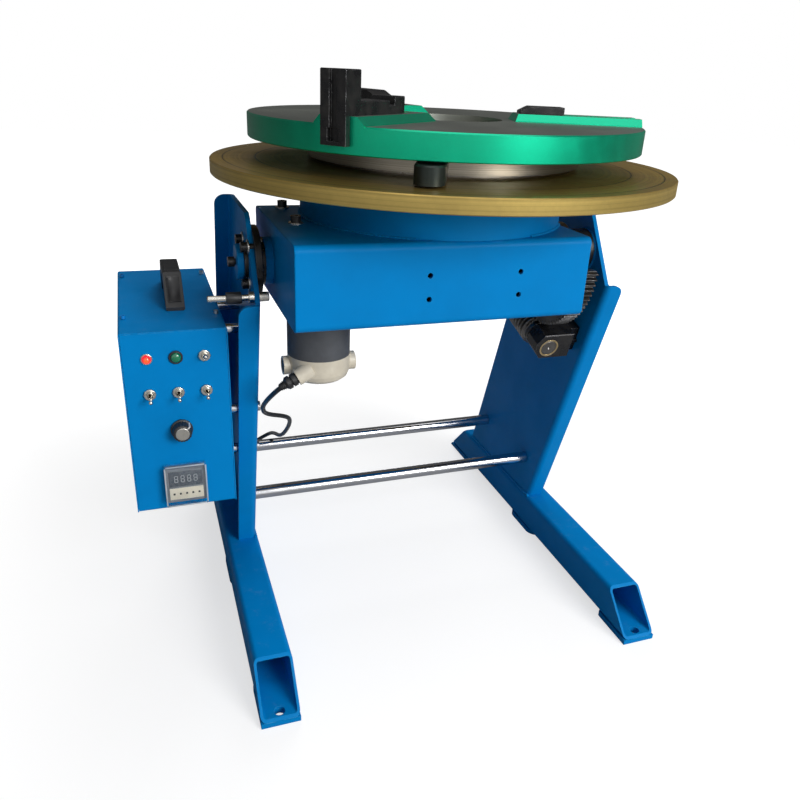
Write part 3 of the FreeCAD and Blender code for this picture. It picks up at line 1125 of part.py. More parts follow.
def panel_parts():
    face = "box_front"
    # lamp: dome, rim and barrel
    at = (PANEL_X[0], face, "row_top")
    rim = turned("lamp_rim", [("0", "-12"), ("5", "-12"), ("5", "0"), ("lamp_dia / 2", "0"), ("lamp_dia / 2", "1"),
                              ("lamp_dia / 2 - 1", "3.5"), ("lamp_dia / 2 - 3", "5.5"), ("0", "6.5")], at, -Y)
    rim.Label = "signal_lamp"
    node(rim)
    at = (PANEL_X[1], face, "row_top")
    r, b = "button_bezel_dia / 2", "button_dia / 2 + seat_gap"
    bezel = turned("button_bezel", [(f"{r} - 2", "-14"), (f"{r} - 2", "0"), (r, "0"), (r, "2.2"), (f"{r} - 1", "3.2"),
                                    (b, "3.2"), (b, "-10"), ("0", "-10"), ("0", "-14")], at, -Y)
    node(bezel)
    cap = turned("reset_button", [("0", "-6"), ("button_dia / 2", "-6"), ("button_dia / 2", "3.6"),
                                  ("button_dia / 2 - 1.5", "5"), ("0", "5.6")], at, -Y)
    node(cap)
    bushes = []
    for number, (x, z) in enumerate(TOGGLES, start=1):
        at = (x, face, z)
        bush = turned(f"toggle_bush_{number}", [
            ("4", "-16"), ("4", "0"), ("bush_nut / 2", "0"), ("bush_nut / 2", "2.2"), ("bush_nut / 2 - 0.8", "3"),
            ("4", "3"), ("4", "6.5"), ("toggle_dia / 2 + 1.4", "6.5"), ("toggle_dia / 2 + 0.9", "-4"), ("0", "-4"),
            ("0", "-16")], at, -Y)
        bushes.append(bush)
        stick = toggle_lever(number, at)
        node(stick)
    node(group("toggle_bushes", bushes))
    at = (PANEL_X[1], face, "knob_up")
    k = "knob_dia / 2"
    knob = turned("knob_turned", [
        ("0", "-10"), ("3", "-10"), ("3", "0.6"), (f"{k} + 1.5", "0.6"), (f"{k} + 1.5", "3"), (k, "3.6"),
        (f"{k} - 1", "knob_long - 1.5"), (f"{k} - 2.5", "knob_long"), ("0", "knob_long")], at, -Y)
    line = block("knob_line", ("1.4", "3", "knob_dia / 2"), (f"{at[0]} - 0.7", f"{face} - knob_long - 2.2", at[2]))
    whole = cut("speed_knob", knob, line)
    node(whole)


def toggle_lever(number, at):
    """A tapered lever with a ball end on a cross pin inside its bush; it hangs down or stands up at rest."""
    lean = val("toggle_lean") * (1 if number > 1 else -1)
    turn = App.Rotation(X, lean).multiply(App.Rotation(Z, -Y))
    part = body(f"toggle_stick_{number}", at, turn)
    r = "toggle_dia / 2"
    feature = part.newObject("PartDesign::Revolution", f"toggle_stick_{number}_turn")
    feature.Profile = draw(sketch(part, "XZ"), [
        ("0", "-2"), (f"{r} * 0.8", "-2"), (f"{r} * 0.8", "4"), (f"{r}", "toggle_long - 3"),
        (f"{r} + 0.5", "toggle_long - 1"), (f"{r}", "toggle_long + 0.5"), ("0", "toggle_long + 1")])
    feature.ReferenceAxis = (next(o for o in part.Origin.OriginFeatures if o.Role == "Z_Axis"), [""])
    feature.Angle = 360
    doc.recompute()
    pin = cylinder(f"toggle_pin_{number}", "1", "4.4", (f"{at[0]} - 2.2", *at[1:]), X)
    return fuse(f"toggle_lever_{number}", part, pin)


def timer():
    """A panel timer: bezel on the panel, case behind it, and a hinged clear cover in front."""
    at = ("timer_at", "box_front", "timer_up")
    case = body("timer_body", at)
    w = "timer_wide / 2"
    rim = draw(sketch(case, "XZ"), [(f"-({w} + 1)", f"-({w} + 1)"), (f"{w} + 1", f"-({w} + 1)"),
                                    (f"{w} + 1", f"{w} + 1"), (f"-({w} + 1)", f"{w} + 1")])
    pad(case, rim, "timer_out")
    dress(case, "Fillet", "2", lambda middle, heading: runs(heading, Y))
    inner = draw(sketch(case, "XZ"), [(f"-({w} - 1)", f"-({w} - 1)"), (f"{w} - 1", f"-({w} - 1)"),
                                      (f"{w} - 1", f"{w} - 1"), (f"-({w} - 1)", f"{w} - 1")])
    pad(case, inner, "timer_body_deep", back=True)
    node(case)
    hinge_up = "(timer_up + cover_high / 2)"
    lid = body("timer_cover", ("timer_at", "box_front - 0.4", hinge_up))
    c, t = "cover_wide / 2", "cover_wall"
    pad(lid, draw(sketch(lid, "XZ"), [(f"-{c}", "-cover_high"), (c, "-cover_high"), (c, "0"), (f"-{c}", "0")]),
        "cover_deep")
    dress(lid, "Fillet", "2", lambda middle, heading: runs(heading, Y))
    # The rear top edge is rounded about the hinge pin, so the lid clears the panel as it swings up.
    dress(lid, "Fillet", "cover_round",
          lambda middle, heading: runs(heading, X) and near(middle.y, 0) and near(middle.z, 0))
    pocket(lid, draw(sketch(lid, "XZ"), [(f"{t} - {c}", f"{t} - cover_high"), (f"{c} - {t}", f"{t} - cover_high"),
                                         (f"{c} - {t}", f"-{t}"), (f"{t} - {c}", f"-{t}")]), "cover_deep - cover_wall",
           back=True)
    node(lid)


# ---------------------------------------------------------------- cable
def route(points):
    """Straight runs joined by tangent arcs; each arc's radius comes from its shorter run and its turn."""
    corners = [vec(p) if not isinstance(p, Vec) else p for p in points]
    edges, radii, start = [], [], corners[0]
    for before, here, after in zip(corners, corners[1:], corners[2:]):
        back, ahead = before - here, after - here
        turn = math.pi - back.getAngle(ahead)
        trim = 0.45 * min(back.Length, ahead.Length)
        radii.append(trim / math.tan(turn / 2))
        enter = here + back * (trim / back.Length)
        leave = here + ahead * (trim / ahead.Length)
        to_centre = (back.normalize() + ahead.normalize()).normalize()
        centre = here + to_centre * (radii[-1] / math.cos(turn / 2))
        middle = centre - to_centre * radii[-1]
        edges += [Part.makeLine(start, enter), Part.Arc(enter, middle, leave).toShape()]
        start = leave
    edges.append(Part.makeLine(start, corners[-1]))
    return Part.Wire(edges), radii


def motor_cable():
    """The motor lead: gland, free loop beside the motor, post grommet, control box gland."""
    first = along_gland("10")
    points = [first] + [tuple(map(str, p)) for p in CABLE_POINTS] + [
        (f"24 - {POST_IN}", *GROMMET), (f"-57 - {POST_IN}", *GROMMET), (*GLAND_AT, f"{GROMMET[1]} + 24"),
        (*GLAND_AT, "box_low + 6")]
    path, radii = route(points)
    radius = val("cable_dia / 2")
    ring = Part.Wire(Part.makeCircle(radius, vec(first), GLAND_WAY))
    tube = path.makePipeShell([ring], True, False)
    ideal = math.pi * radius**2 * path.Length
    print(f"motor_cable: length {path.Length:.0f}, radii {[round(r) for r in radii]}, "
          f"volume {tube.Volume / ideal:.3f} of the ideal tube")
    return node(shaped("motor_cable", tube))


CABLE_POINTS = (
    (-224, -162, 389), (-234, -127, 360), (-235, -88, 334), (-234, -62, 316), (-228, -42, 296), (-190, -17, 277),
    (-181, 12, 254), (-179, 50, 222), (-180, 105, 182), (-181, 165, 160), (-184, 204, 140))


def cable_glands():
    """The grommet in the post and the gland under the control box."""
    r, c = "cable_dia / 2 + 3 - seat_gap", "cable_dia / 2"
    grommet = turned("post_grommet", [
        (c, "-3"), (f"{r} + 3", "-3"), (f"{r} + 3", "0"), (r, "0"), (r, "post_sheet"), (f"{r} + 3", "post_sheet"),
        (f"{r} + 3", "post_sheet + 3"), (c, "post_sheet + 3")], (minus(POST_IN), *GROMMET), -X)
    gland = turned("box_gland", [
        (c, "-14"), ("cable_dia / 2 + 3", "-14"), ("cable_dia / 2 + 5", "-11"), ("cable_dia / 2 + 5", "0"),
        ("cable_dia / 2 + 3", "0"), ("cable_dia / 2 + 3", "box_sheet + 6"), (c, "box_sheet + 6")],
        (*GLAND_AT, "box_low"))
    return node(group("cable_grommets", [grommet, gland]))


# ---------------------------------------------------------------- build
foot("foot_left", LEFT)
foot("foot_right", RIGHT)
foot_pads()
post("post_left", LEFT)
post("post_right", RIGHT)
tie_rods()
bearing_housing("bearing_housing_left", LEFT)
bearing_housing("bearing_housing_right", RIGHT)
bearing_screws()
stop_bolt()
worm_wheel()
worm_shaft()
worm_block("worm_block_front", -1)
worm_block("worm_block_rear", 1)
worm_bushes()
worm_bracket()
worm_bolts()
handwheel()
beam_box()
drum_housing()
spindle_housing()
spindle()
spindle_gear()
drive_pinion()
stub_shafts()
end_cap()
beam_screws()
gearbox()
motor()
motor_gland()
turntable()
chuck_body()
for jaw_number, jaw_kind in enumerate(("tall", "short", "low"), start=1):
    jaw(jaw_number, jaw_kind)
scroll_ring()
sheet_box()
standoffs()
carry_handle()
panel_parts()
timer()
motor_cable()
cable_glands()
doc.recompute()

for item in doc.Objects:
    if "Invalid" in item.State or "Error" in item.State:
        raise RuntimeError(f"{item.Label} did not compute: {item.State}")
os.makedirs("parts", exist_ok=True)
for label, part in NODES.items():
    if part.Shape.isNull() or not part.Shape.isValid():
        raise RuntimeError(f"{label} has no valid shape")
    part.Shape.exportStep(f"parts/{label}.step")
print(f"{len(NODES)} parts written")
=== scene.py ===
# %% [markdown]
# # Looks of a welding positioner
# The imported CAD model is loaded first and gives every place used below. All lengths are in metres, with Z up,
# X along the tilt axis and Y away from the operator. Sizes in millimetres are written times MM.

# %% Load the frame
import json
import math

import bmesh
import bpy
from mathutils import Matrix, Vector


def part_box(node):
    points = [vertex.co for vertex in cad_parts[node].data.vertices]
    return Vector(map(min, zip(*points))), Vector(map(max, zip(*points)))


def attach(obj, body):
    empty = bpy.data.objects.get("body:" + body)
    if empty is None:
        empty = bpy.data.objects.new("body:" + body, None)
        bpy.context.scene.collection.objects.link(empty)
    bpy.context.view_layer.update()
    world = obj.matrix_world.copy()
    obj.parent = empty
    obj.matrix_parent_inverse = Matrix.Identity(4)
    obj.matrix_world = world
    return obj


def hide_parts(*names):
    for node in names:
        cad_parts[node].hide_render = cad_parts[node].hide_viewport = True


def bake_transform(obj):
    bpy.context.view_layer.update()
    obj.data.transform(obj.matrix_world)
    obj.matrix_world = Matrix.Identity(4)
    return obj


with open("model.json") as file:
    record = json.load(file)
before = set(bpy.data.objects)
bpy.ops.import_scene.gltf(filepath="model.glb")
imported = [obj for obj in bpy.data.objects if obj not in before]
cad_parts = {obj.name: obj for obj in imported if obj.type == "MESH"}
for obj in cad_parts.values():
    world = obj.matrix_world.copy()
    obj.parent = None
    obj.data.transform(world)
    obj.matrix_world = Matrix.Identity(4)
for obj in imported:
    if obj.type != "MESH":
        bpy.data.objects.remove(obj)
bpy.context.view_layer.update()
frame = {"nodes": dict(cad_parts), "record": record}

NODES = frame["nodes"]
MM = 0.001
print("frame loaded:", len(NODES), "nodes")

# %% [markdown]
# ## Camera
# The machine is seen from its operator's left, from a little above the table. A camera could be aimed with a
# Track To constraint; three plain turns are used here, because they also hold a slight roll of the hand.

# %% Camera
def aimed_camera():
    turn = (Matrix.Rotation(math.radians(-20.12), 3, "Z") @ Matrix.Rotation(math.radians(-24.05), 3, "X")
            @ Matrix.Rotation(math.radians(-2.71), 3, "Y"))
    level = Matrix(((1, 0, 0), (0, 0, -1), (0, 1, 0)))
    lens = bpy.data.cameras.new("camera")
    lens.lens, lens.sensor_width, lens.sensor_fit = 33.44, 36, "HORIZONTAL"
    lens.clip_start, lens.clip_end = 0.01, 50
    seen = bpy.data.objects.new("camera", lens)
    seen.matrix_world = Matrix.Translation((-0.3772, -1.0079, 0.7558)) @ (turn @ level).to_4x4()
    bpy.context.scene.collection.objects.link(seen)
    bpy.context.scene.camera = seen
    return seen


print("camera at", aimed_camera().location)

# %% [markdown]
# ## Tools for new pieces
# Most small parts of a machine come off a lathe or out of a bar. So two shapes do nearly all the work: a half
# outline that Spin turns round the Z axis, and a flat outline that Extrude makes thick. Bevel then breaks the
# edges, as a file would. The outlines are drawn at the origin and moved to their place in the mesh itself, so
# that every finished object stays at the origin.

# %% Spin a half outline
def spun(profile, steps=48, closed=False, angle=2 * math.pi):
    """Turn (radius, height) points in millimetres about Z."""
    mesh = bmesh.new()
    corners = [mesh.verts.new((r * MM, 0, h * MM)) for r, h in profile]
    pairs = list(zip(corners, corners[1:])) + ([(corners[-1], corners[0])] if closed else [])
    edges = [mesh.edges.new(pair) for pair in pairs]
    full = angle > 6.28
    bmesh.ops.spin(mesh, geom=corners + edges, cent=(0, 0, 0), axis=(0, 0, 1), angle=angle, steps=steps,
                   use_merge=full)
    bmesh.ops.remove_doubles(mesh, verts=mesh.verts, dist=1e-6)
    return mesh


# %% Extrude a flat outline
def slab(outline, thick, round_off=0.0, segments=2):
    """Give an outline in the XY plane a thickness along Z, and break its edges."""
    mesh = bmesh.new()
    face = mesh.faces.new([mesh.verts.new((x * MM, y * MM, 0)) for x, y in outline])
    raised = bmesh.ops.extrude_face_region(mesh, geom=[face])["geom"]
    lifted = [item for item in raised if isinstance(item, bmesh.types.BMVert)]
    bmesh.ops.translate(mesh, verts=lifted, vec=(0, 0, thick * MM))
    bmesh.ops.recalc_face_normals(mesh, faces=mesh.faces)
    if round_off:
        bmesh.ops.bevel(mesh, geom=mesh.edges[:], offset=round_off * MM, segments=segments, affect="EDGES",
                        profile=0.5, material=-1)
    return mesh


def bar(wide, deep, high, round_off=0.0):
    """A block centred over the origin, standing on the XY plane."""
    a, b = wide / 2, deep / 2
    return slab([(-a, -b), (a, -b), (a, b), (-a, b)], high, round_off)


# %% Put shapes in place and join them
def moved(mesh, at, turn=Matrix.Identity(4)):
    bmesh.ops.transform(mesh, matrix=Matrix.Translation(at) @ turn, verts=mesh.verts)
    return mesh


def joined(meshes):
    whole = bmesh.new()
    for part in meshes:
        data = bpy.data.meshes.new("part")
        part.to_mesh(data)
        part.free()
        whole.from_mesh(data)
        bpy.data.meshes.remove(data)
    return whole


def finished(name, mesh, material, body, replaces=()):
    """Turn a mesh into a named object that rides on a body of the frame."""
    bmesh.ops.recalc_face_normals(mesh, faces=mesh.faces)
    data = bpy.data.meshes.new(name)
    mesh.to_mesh(data)
    mesh.free()
    data.materials.append(material)
    data.shade_smooth()
    data.set_sharp_from_angle(angle=math.radians(35))
    thing = bpy.data.objects.new(name, data)
    bpy.context.scene.collection.objects.link(thing)
    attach(thing, body)
    if replaces:
        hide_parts(*replaces)
    print(name, "-", len(data.polygons), "faces")
    return thing


PANEL_OUT = Matrix.Rotation(math.radians(90), 4, "X")
LEFT_OUT = Matrix.Rotation(math.radians(-90), 4, "Y")

# %% [markdown]
# ## Finishes
# Paint, oxide and moulded plastic differ in colour and gloss, but share what makes them look real: a slow
# drift of tone, a fine grain, paler edges, which are partly worn and partly a painted highlight, and dust on
# upward faces. One node group works out those values, and each material feeds them to its own shader. The
# group reads Object coordinates, so nothing slides when the machine moves.

# %% Node helpers
def add(tree, kind, inputs=None, **settings):
    made = tree.nodes.new(kind)
    for key, value in settings.items():
        setattr(made, key, value)
    for key, value in (inputs or {}).items():
        if isinstance(value, bpy.types.NodeSocket):
            tree.links.new(value, made.inputs[key])
        else:
            made.inputs[key].default_value = value
    return made


def calc(tree, operation, a, b=0.0, clamp=False):
    return add(tree, "ShaderNodeMath", {0: a, 1: b}, operation=operation, use_clamp=clamp).outputs[0]


def blended(tree, factor, a, b):
    return add(tree, "ShaderNodeMix", {0: factor, 6: a, 7: b}, data_type="RGBA").outputs[2]


def ramp(tree, value, low, high):
    return add(tree, "ShaderNodeMapRange", {"Value": value, "From Min": low, "From Max": high},
               interpolation_type="SMOOTHSTEP").outputs[0]


def noise(tree, where, scale, detail=4.0, rough=0.6):
    return add(tree, "ShaderNodeTexNoise", {"Vector": where, "Scale": scale, "Detail": detail,
                                            "Roughness": rough}).outputs[0]


def new_group(name, inputs, outputs):
    tree = bpy.data.node_groups.new(name, "ShaderNodeTree")
    for label, kind, default in inputs:
        tree.interface.new_socket(label, in_out="INPUT",
                                  socket_type=f"NodeSocket{kind}").default_value = default
    for label, kind in outputs:
        tree.interface.new_socket(label, in_out="OUTPUT", socket_type=f"NodeSocket{kind}")
    return tree, add(tree, "NodeGroupInput").outputs


print("node helpers ready")

# %% The skin group: tone, wear with painted edge highlight, dust, gloss and grain
SKIN_INPUTS = [
    ("Color", "Color", (0.5, 0.5, 0.5, 1)), ("Shade", "Color", (0.3, 0.3, 0.3, 1)), ("Mottle", "Float", 0.3),
    ("Mottle Scale", "Float", 18.0), ("Roughness", "Float", 0.4), ("Rough Spread", "Float", 0.15),
    ("Grain Scale", "Float", 900.0), ("Grain", "Float", 0.1), ("Wear Color", "Color", (0.4, 0.4, 0.4, 1)),
    ("Wear", "Float", 0.0), ("Dust", "Float", 0.0),
]


def skin_group():
    tree, given = new_group("Skin", SKIN_INPUTS,
                            [("Color", "Color"), ("Roughness", "Float"), ("Normal", "Vector")])
    where = add(tree, "ShaderNodeTexCoord").outputs
    spot = where["Object"]
    cloud = ramp(tree, noise(tree, spot, given["Mottle Scale"], 6.0), 0.35, 0.7)
    color = blended(tree, calc(tree, "MULTIPLY", cloud, given["Mottle"]), given["Color"], given["Shade"])
    rounded = add(tree, "ShaderNodeBevel", {"Radius": 1.1 * MM}, samples=4).outputs[0]
    flat = add(tree, "ShaderNodeNewGeometry").outputs["Normal"]
    agree = add(tree, "ShaderNodeVectorMath", {0: rounded, 1: flat}, operation="DOT_PRODUCT").outputs["Value"]
    # Paler edges: partly rubbed wear, partly a painted highlight where the rounded edges catch the light.
    edge = ramp(tree, calc(tree, "SUBTRACT", 1.0, agree), 0.02, 0.25)
    wear_and_edge_highlight = calc(tree, "MULTIPLY", edge, ramp(tree, noise(tree, spot, 140.0), 0.4, 0.58))
    color = blended(tree, calc(tree, "MULTIPLY", wear_and_edge_highlight, given["Wear"], True), color, given["Wear Color"])
    upward = add(tree, "ShaderNodeSeparateXYZ", {0: where["Normal"]}).outputs["Z"]
    specks = ramp(tree, noise(tree, spot, 55.0, 8.0, 0.75), 0.52, 0.75)
    dust = calc(tree, "MULTIPLY", calc(tree, "MULTIPLY", ramp(tree, upward, 0.3, 1.0), specks), given["Dust"],
                True)
    color = blended(tree, dust, color, (0.42, 0.44, 0.47, 1))
    gloss = calc(tree, "MULTIPLY", calc(tree, "SUBTRACT", cloud, 0.5), given["Rough Spread"])
    gloss = calc(tree, "ADD", calc(tree, "ADD", given["Roughness"], gloss),
                 calc(tree, "MULTIPLY", dust, 0.3), True)
    grain = noise(tree, spot, given["Grain Scale"], 3.0)
    normal = add(tree, "ShaderNodeBump", {"Strength": given["Grain"], "Distance": 0.4 * MM, "Height": grain,
                                          "Normal": rounded}).outputs[0]
    add(tree, "NodeGroupOutput", {0: color, 1: gloss, 2: normal})
    return tree


SKIN = skin_group()
print("skin group:", len(SKIN.nodes), "nodes")

# %% [markdown]
# A lathe leaves fine rings round the axis. The rings group measures the distance from the spindle axis and
# stretches a noise along it, so the pattern changes with the radius only. A wave texture would be too even.

# %% The lathe rings group
def rings_group():
    tree, given = new_group("Lathe rings", [("Centre", "Vector", (0, 0, 0)), ("Pitch", "Float", 400.0)],
                            [("Rings", "Float"), ("Radius", "Float")])
    where = add(tree, "ShaderNodeTexCoord").outputs["Object"]
    offset = add(tree, "ShaderNodeVectorMath", {0: where, 1: given["Centre"]},
                 operation="SUBTRACT").outputs[0]
    parts = add(tree, "ShaderNodeSeparateXYZ", {0: offset}).outputs
    level = add(tree, "ShaderNodeCombineXYZ", {0: parts["X"], 1: parts["Y"]}).outputs[0]
    radius = add(tree, "ShaderNodeVectorMath", {0: level}, operation="LENGTH").outputs["Value"]
    line = add(tree, "ShaderNodeCombineXYZ", {0: radius, 1: parts["Z"]}).outputs[0]
    add(tree, "NodeGroupOutput", {0: noise(tree, line, given["Pitch"], 5.0, 0.7), 1: radius})
    return tree


RINGS = rings_group()
print("rings group:", len(RINGS.nodes), "nodes")

# %% Materials of one skin
def srgb(r, g, b):
    return tuple(((c / 255 + 0.055) / 1.055) ** 2.4 if c > 10 else c / 255 / 12.92 for c in (r, g, b))


def new_material(name):
    made = bpy.data.materials.new(name)
    made.use_nodes = True
    made.node_tree.nodes.clear()
    return made, made.node_tree


def shaded(tree, linked, **constants):
    """The material's own shader: linked sockets by name, constants set on the sockets themselves."""
    shader = add(tree, "ShaderNodeBsdfPrincipled", linked)
    for key, value in constants.items():
        shader.inputs[key.replace("_", " ").title().replace("Ior", "IOR")].default_value = value
    add(tree, "ShaderNodeOutputMaterial", {0: shader.outputs[0]})
    return shader


def skinned(name, color, shade, metallic=0.0, coat=0.0, specular=0.5, **values):
    made, tree = new_material(name)
    use = add(tree, "ShaderNodeGroup", node_tree=SKIN)
    for key, value in dict(color=color, shade=shade, **values).items():
        use.inputs[key.replace("_", " ").title()].default_value = (*value, 1) if isinstance(value,
                                                                                            tuple) else value
    shaded(tree, {"Base Color": use.outputs["Color"], "Roughness": use.outputs["Roughness"],
                  "Normal": use.outputs["Normal"]},
           metallic=metallic, coat_weight=coat, coat_roughness=0.1, specular_ior_level=specular)
    return made


print("material helpers ready")

# %% [markdown]
# ## Paint and plastic
# The stand, beam and control box are sprayed bright blue over sheet steel. Its edges are painted paler, partly
# as rubbed paint and partly as a painted highlight where they catch the light. The motor is a plain grey enamel
# with a cream end cap, and the grips and knobs are black mouldings.

# %% Paints and plastics
# Each wear colour is partly rubbed finish and partly a painted highlight along the edges.
materials = {
    "blue": skinned("blue paint", srgb(0, 130, 202), srgb(0, 112, 176), specular=0.06, mottle=0.35,
                    mottle_scale=9.0, roughness=0.42, rough_spread=0.12, grain_scale=420.0, grain=0.12,
                        wear=0.65,
                    wear_color=srgb(80, 168, 222), dust=0.06),
    "motor_grey": skinned("motor enamel", srgb(76, 79, 84), srgb(60, 62, 66), mottle=0.6, mottle_scale=30.0,
                          roughness=0.5, grain_scale=1300.0, grain=0.25, wear=0.3,
                              wear_color=(0.3, 0.3, 0.3)),
    "cream": skinned("cream enamel", srgb(216, 208, 190), srgb(190, 180, 160), coat=0.1, mottle=0.6,
                     mottle_scale=30.0, roughness=0.42, grain_scale=900.0, grain=0.15, wear=0.3,
                     wear_color=(0.25, 0.23, 0.2)),
    "black_plastic": skinned("black moulding", (0.016, 0.016, 0.018), (0.03, 0.03, 0.031), mottle=0.5,
                             mottle_scale=60.0, roughness=0.42, grain_scale=2600.0, grain=0.3, wear=0.3,
                             wear_color=(0.1, 0.1, 0.1)),
    "rubber": skinned("cable rubber", (0.012, 0.013, 0.015), (0.026, 0.026, 0.028), mottle=0.6,
                      mottle_scale=120.0, roughness=0.4, grain_scale=1600.0, grain=0.12),
    "grey_plastic": skinned("grey moulding", srgb(122, 126, 132), srgb(104, 108, 114), mottle=0.5,
                            mottle_scale=80.0, roughness=0.45, grain_scale=2200.0, grain=0.15, wear=0.3,
                            wear_color=(0.5, 0.5, 0.5)),
    "white_mark": skinned("white mark", (0.72, 0.74, 0.76), (0.6, 0.62, 0.64), mottle=0.4, mottle_scale=200.0,
                          roughness=0.5, grain_scale=1500.0, grain=0.1),
    "window": skinned("display window", srgb(84, 90, 98), srgb(70, 76, 84), mottle=0.4, mottle_scale=200.0,
                      roughness=0.3, grain_scale=1500.0, grain=0.06),
    "frosted": skinned("frosted edge", srgb(186, 194, 200), srgb(168, 176, 184), mottle=0.5,
                       mottle_scale=120.0,
                       roughness=0.4, grain_scale=1800.0, grain=0.1),
    "segment": skinned("pale segment", srgb(192, 194, 196), srgb(178, 180, 184), mottle=0.4,
                       mottle_scale=300.0,
                       roughness=0.35, grain_scale=1500.0, grain=0.1),
}
print("paints:", list(materials))

# %% [markdown]
# ## Bare and treated metal
# Chromed rods mirror the room. Black-oxide screws and gears are dark and oily, with steel showing on rubbed
# edges. Zinc and nickel are brighter and a little warm.

# %% Metals
materials.update({
    "chrome": skinned("chromed rod", (0.66, 0.67, 0.7), (0.5, 0.5, 0.53), metallic=1.0, roughness=0.14,
                      rough_spread=0.1, grain_scale=60.0, grain=0.04),
    "black_steel": skinned("black oxide", (0.018, 0.018, 0.02), (0.042, 0.04, 0.038), metallic=0.55,
                           mottle=0.7,
                           mottle_scale=60.0, roughness=0.36, rough_spread=0.25, grain_scale=1500.0,
                               grain=0.15,
                           wear=0.8, wear_color=(0.26, 0.26, 0.27)),
    "steel": skinned("oily steel", (0.20, 0.19, 0.18), (0.10, 0.095, 0.09), metallic=1.0, mottle=0.6,
                     mottle_scale=40.0, roughness=0.33, rough_spread=0.2, grain_scale=2400.0, grain=0.14,
                     wear=0.7, wear_color=(0.6, 0.58, 0.52)),
    "gear": skinned("gear steel", (0.07, 0.07, 0.072), (0.035, 0.035, 0.036), metallic=0.85, mottle=0.7,
                    mottle_scale=70.0, roughness=0.38, rough_spread=0.2, grain_scale=2000.0, grain=0.15,
                    wear=0.7, wear_color=(0.3, 0.3, 0.3)),
    "bright": skinned("ground steel", (0.52, 0.51, 0.49), (0.34, 0.33, 0.31), metallic=1.0, mottle=0.5,
                      mottle_scale=60.0, roughness=0.28, rough_spread=0.15, grain_scale=2400.0, grain=0.12),
    "zinc": skinned("zinc plate", (0.64, 0.62, 0.57), (0.42, 0.4, 0.36), metallic=1.0, mottle=0.5,
                    mottle_scale=90.0, roughness=0.24, rough_spread=0.15, grain_scale=1800.0, grain=0.08),
    "bronze": skinned("bronze", (0.66, 0.5, 0.26), (0.5, 0.36, 0.18), metallic=1.0, mottle=0.5,
                      mottle_scale=80.0, roughness=0.3, rough_spread=0.15, grain_scale=2000.0, grain=0.1),
})
print("metals added:", len(materials))

# %% [markdown]
# ## Turned table
# The table top is a bronze-coloured turned plate with a few scribed circles, and its rim is polished gold.
# The face and the rim share one material: the direction in which the surface faces picks the colour.

# %% Turned metal
SPIN = (0.0155, -0.053, 0.0)  # a point on the spindle axis
FINE_PITCH = 900.0  # rings per metre of the finest cut


def lathe_rings(tree, pitch):
    rings = add(tree, "ShaderNodeGroup", node_tree=RINGS)
    rings.inputs["Centre"].default_value, rings.inputs["Pitch"].default_value = SPIN, pitch
    return rings.outputs


def facing_up(tree):
    normal = add(tree, "ShaderNodeTexCoord").outputs["Normal"]
    return add(tree, "ShaderNodeSeparateXYZ", {0: normal}).outputs["Z"]


def turned_metal(name, top, side, pitch, top_rough, side_rough, scribed=()):
    made, tree = new_material(name)
    rings = lathe_rings(tree, pitch)
    value = rings["Rings"]
    where = add(tree, "ShaderNodeTexCoord").outputs["Object"]
    flat = ramp(tree, calc(tree, "ABSOLUTE", facing_up(tree)), 0.5, 0.9)
    stain = ramp(tree, noise(tree, where, 7.0, 7.0, 0.65), 0.38, 0.66)
    dim = lambda tone, by: tuple(c * by for c in tone) + (1,)
    face = blended(tree, calc(tree, "MULTIPLY", stain, 0.6), (*top, 1), dim(top, 0.55))
    rim = blended(tree, calc(tree, "MULTIPLY", stain, 0.6), (*side, 1), dim(side, 0.5))
    color = blended(tree, flat, rim, face)
    color = blended(tree, calc(tree, "MULTIPLY", ramp(tree, value, 0.4, 0.7), 0.55), color, dim(top, 0.35))
    height = value
    for radius in scribed:
        away = calc(tree, "ABSOLUTE", calc(tree, "SUBTRACT", rings["Radius"], radius))
        line = calc(tree, "MULTIPLY", calc(tree, "LESS_THAN", away, 0.7 * MM), flat)
        color = blended(tree, calc(tree, "MULTIPLY", line, 0.9), color, (0.03, 0.028, 0.02, 1))
        height = calc(tree, "SUBTRACT", height, calc(tree, "MULTIPLY", line, 2.0))
    rough = add(tree, "ShaderNodeMix", {0: flat, 2: side_rough, 3: top_rough}, data_type="FLOAT").outputs[0]
    rough = calc(tree, "ADD", rough, calc(tree, "MULTIPLY", stain, 0.14))
    bump = add(tree, "ShaderNodeBump", {"Strength": 0.22, "Distance": 0.3 * MM, "Height": height}).outputs[0]
    shaded(tree, {"Base Color": color, "Roughness": rough, "Normal": bump}, metallic=0.75, anisotropic=0.4)
    return made


materials["table"] = turned_metal("gold table", (0.50, 0.33, 0.09), (0.74, 0.54, 0.16), 260.0, 0.3, 0.28,
                                  scribed=(0.284, 0.2435, 0.168))
materials["cam_ring"] = turned_metal("cam ring", (0.26, 0.25, 0.23), (0.30, 0.29, 0.27), 900.0, 0.3, 0.25)
print("turned metals ready")

# %% [markdown]
# ## Chuck
# The chuck's sides wear a green metallic lacquer, while every upward face was turned bare after spraying. A
# ragged line between them comes from a noise added to the facing direction before it is compared.

# %% Green lacquer with bare tops
BORE_REACH = 0.080  # inside this radius the chuck was bored after spraying, so its wall is bare too


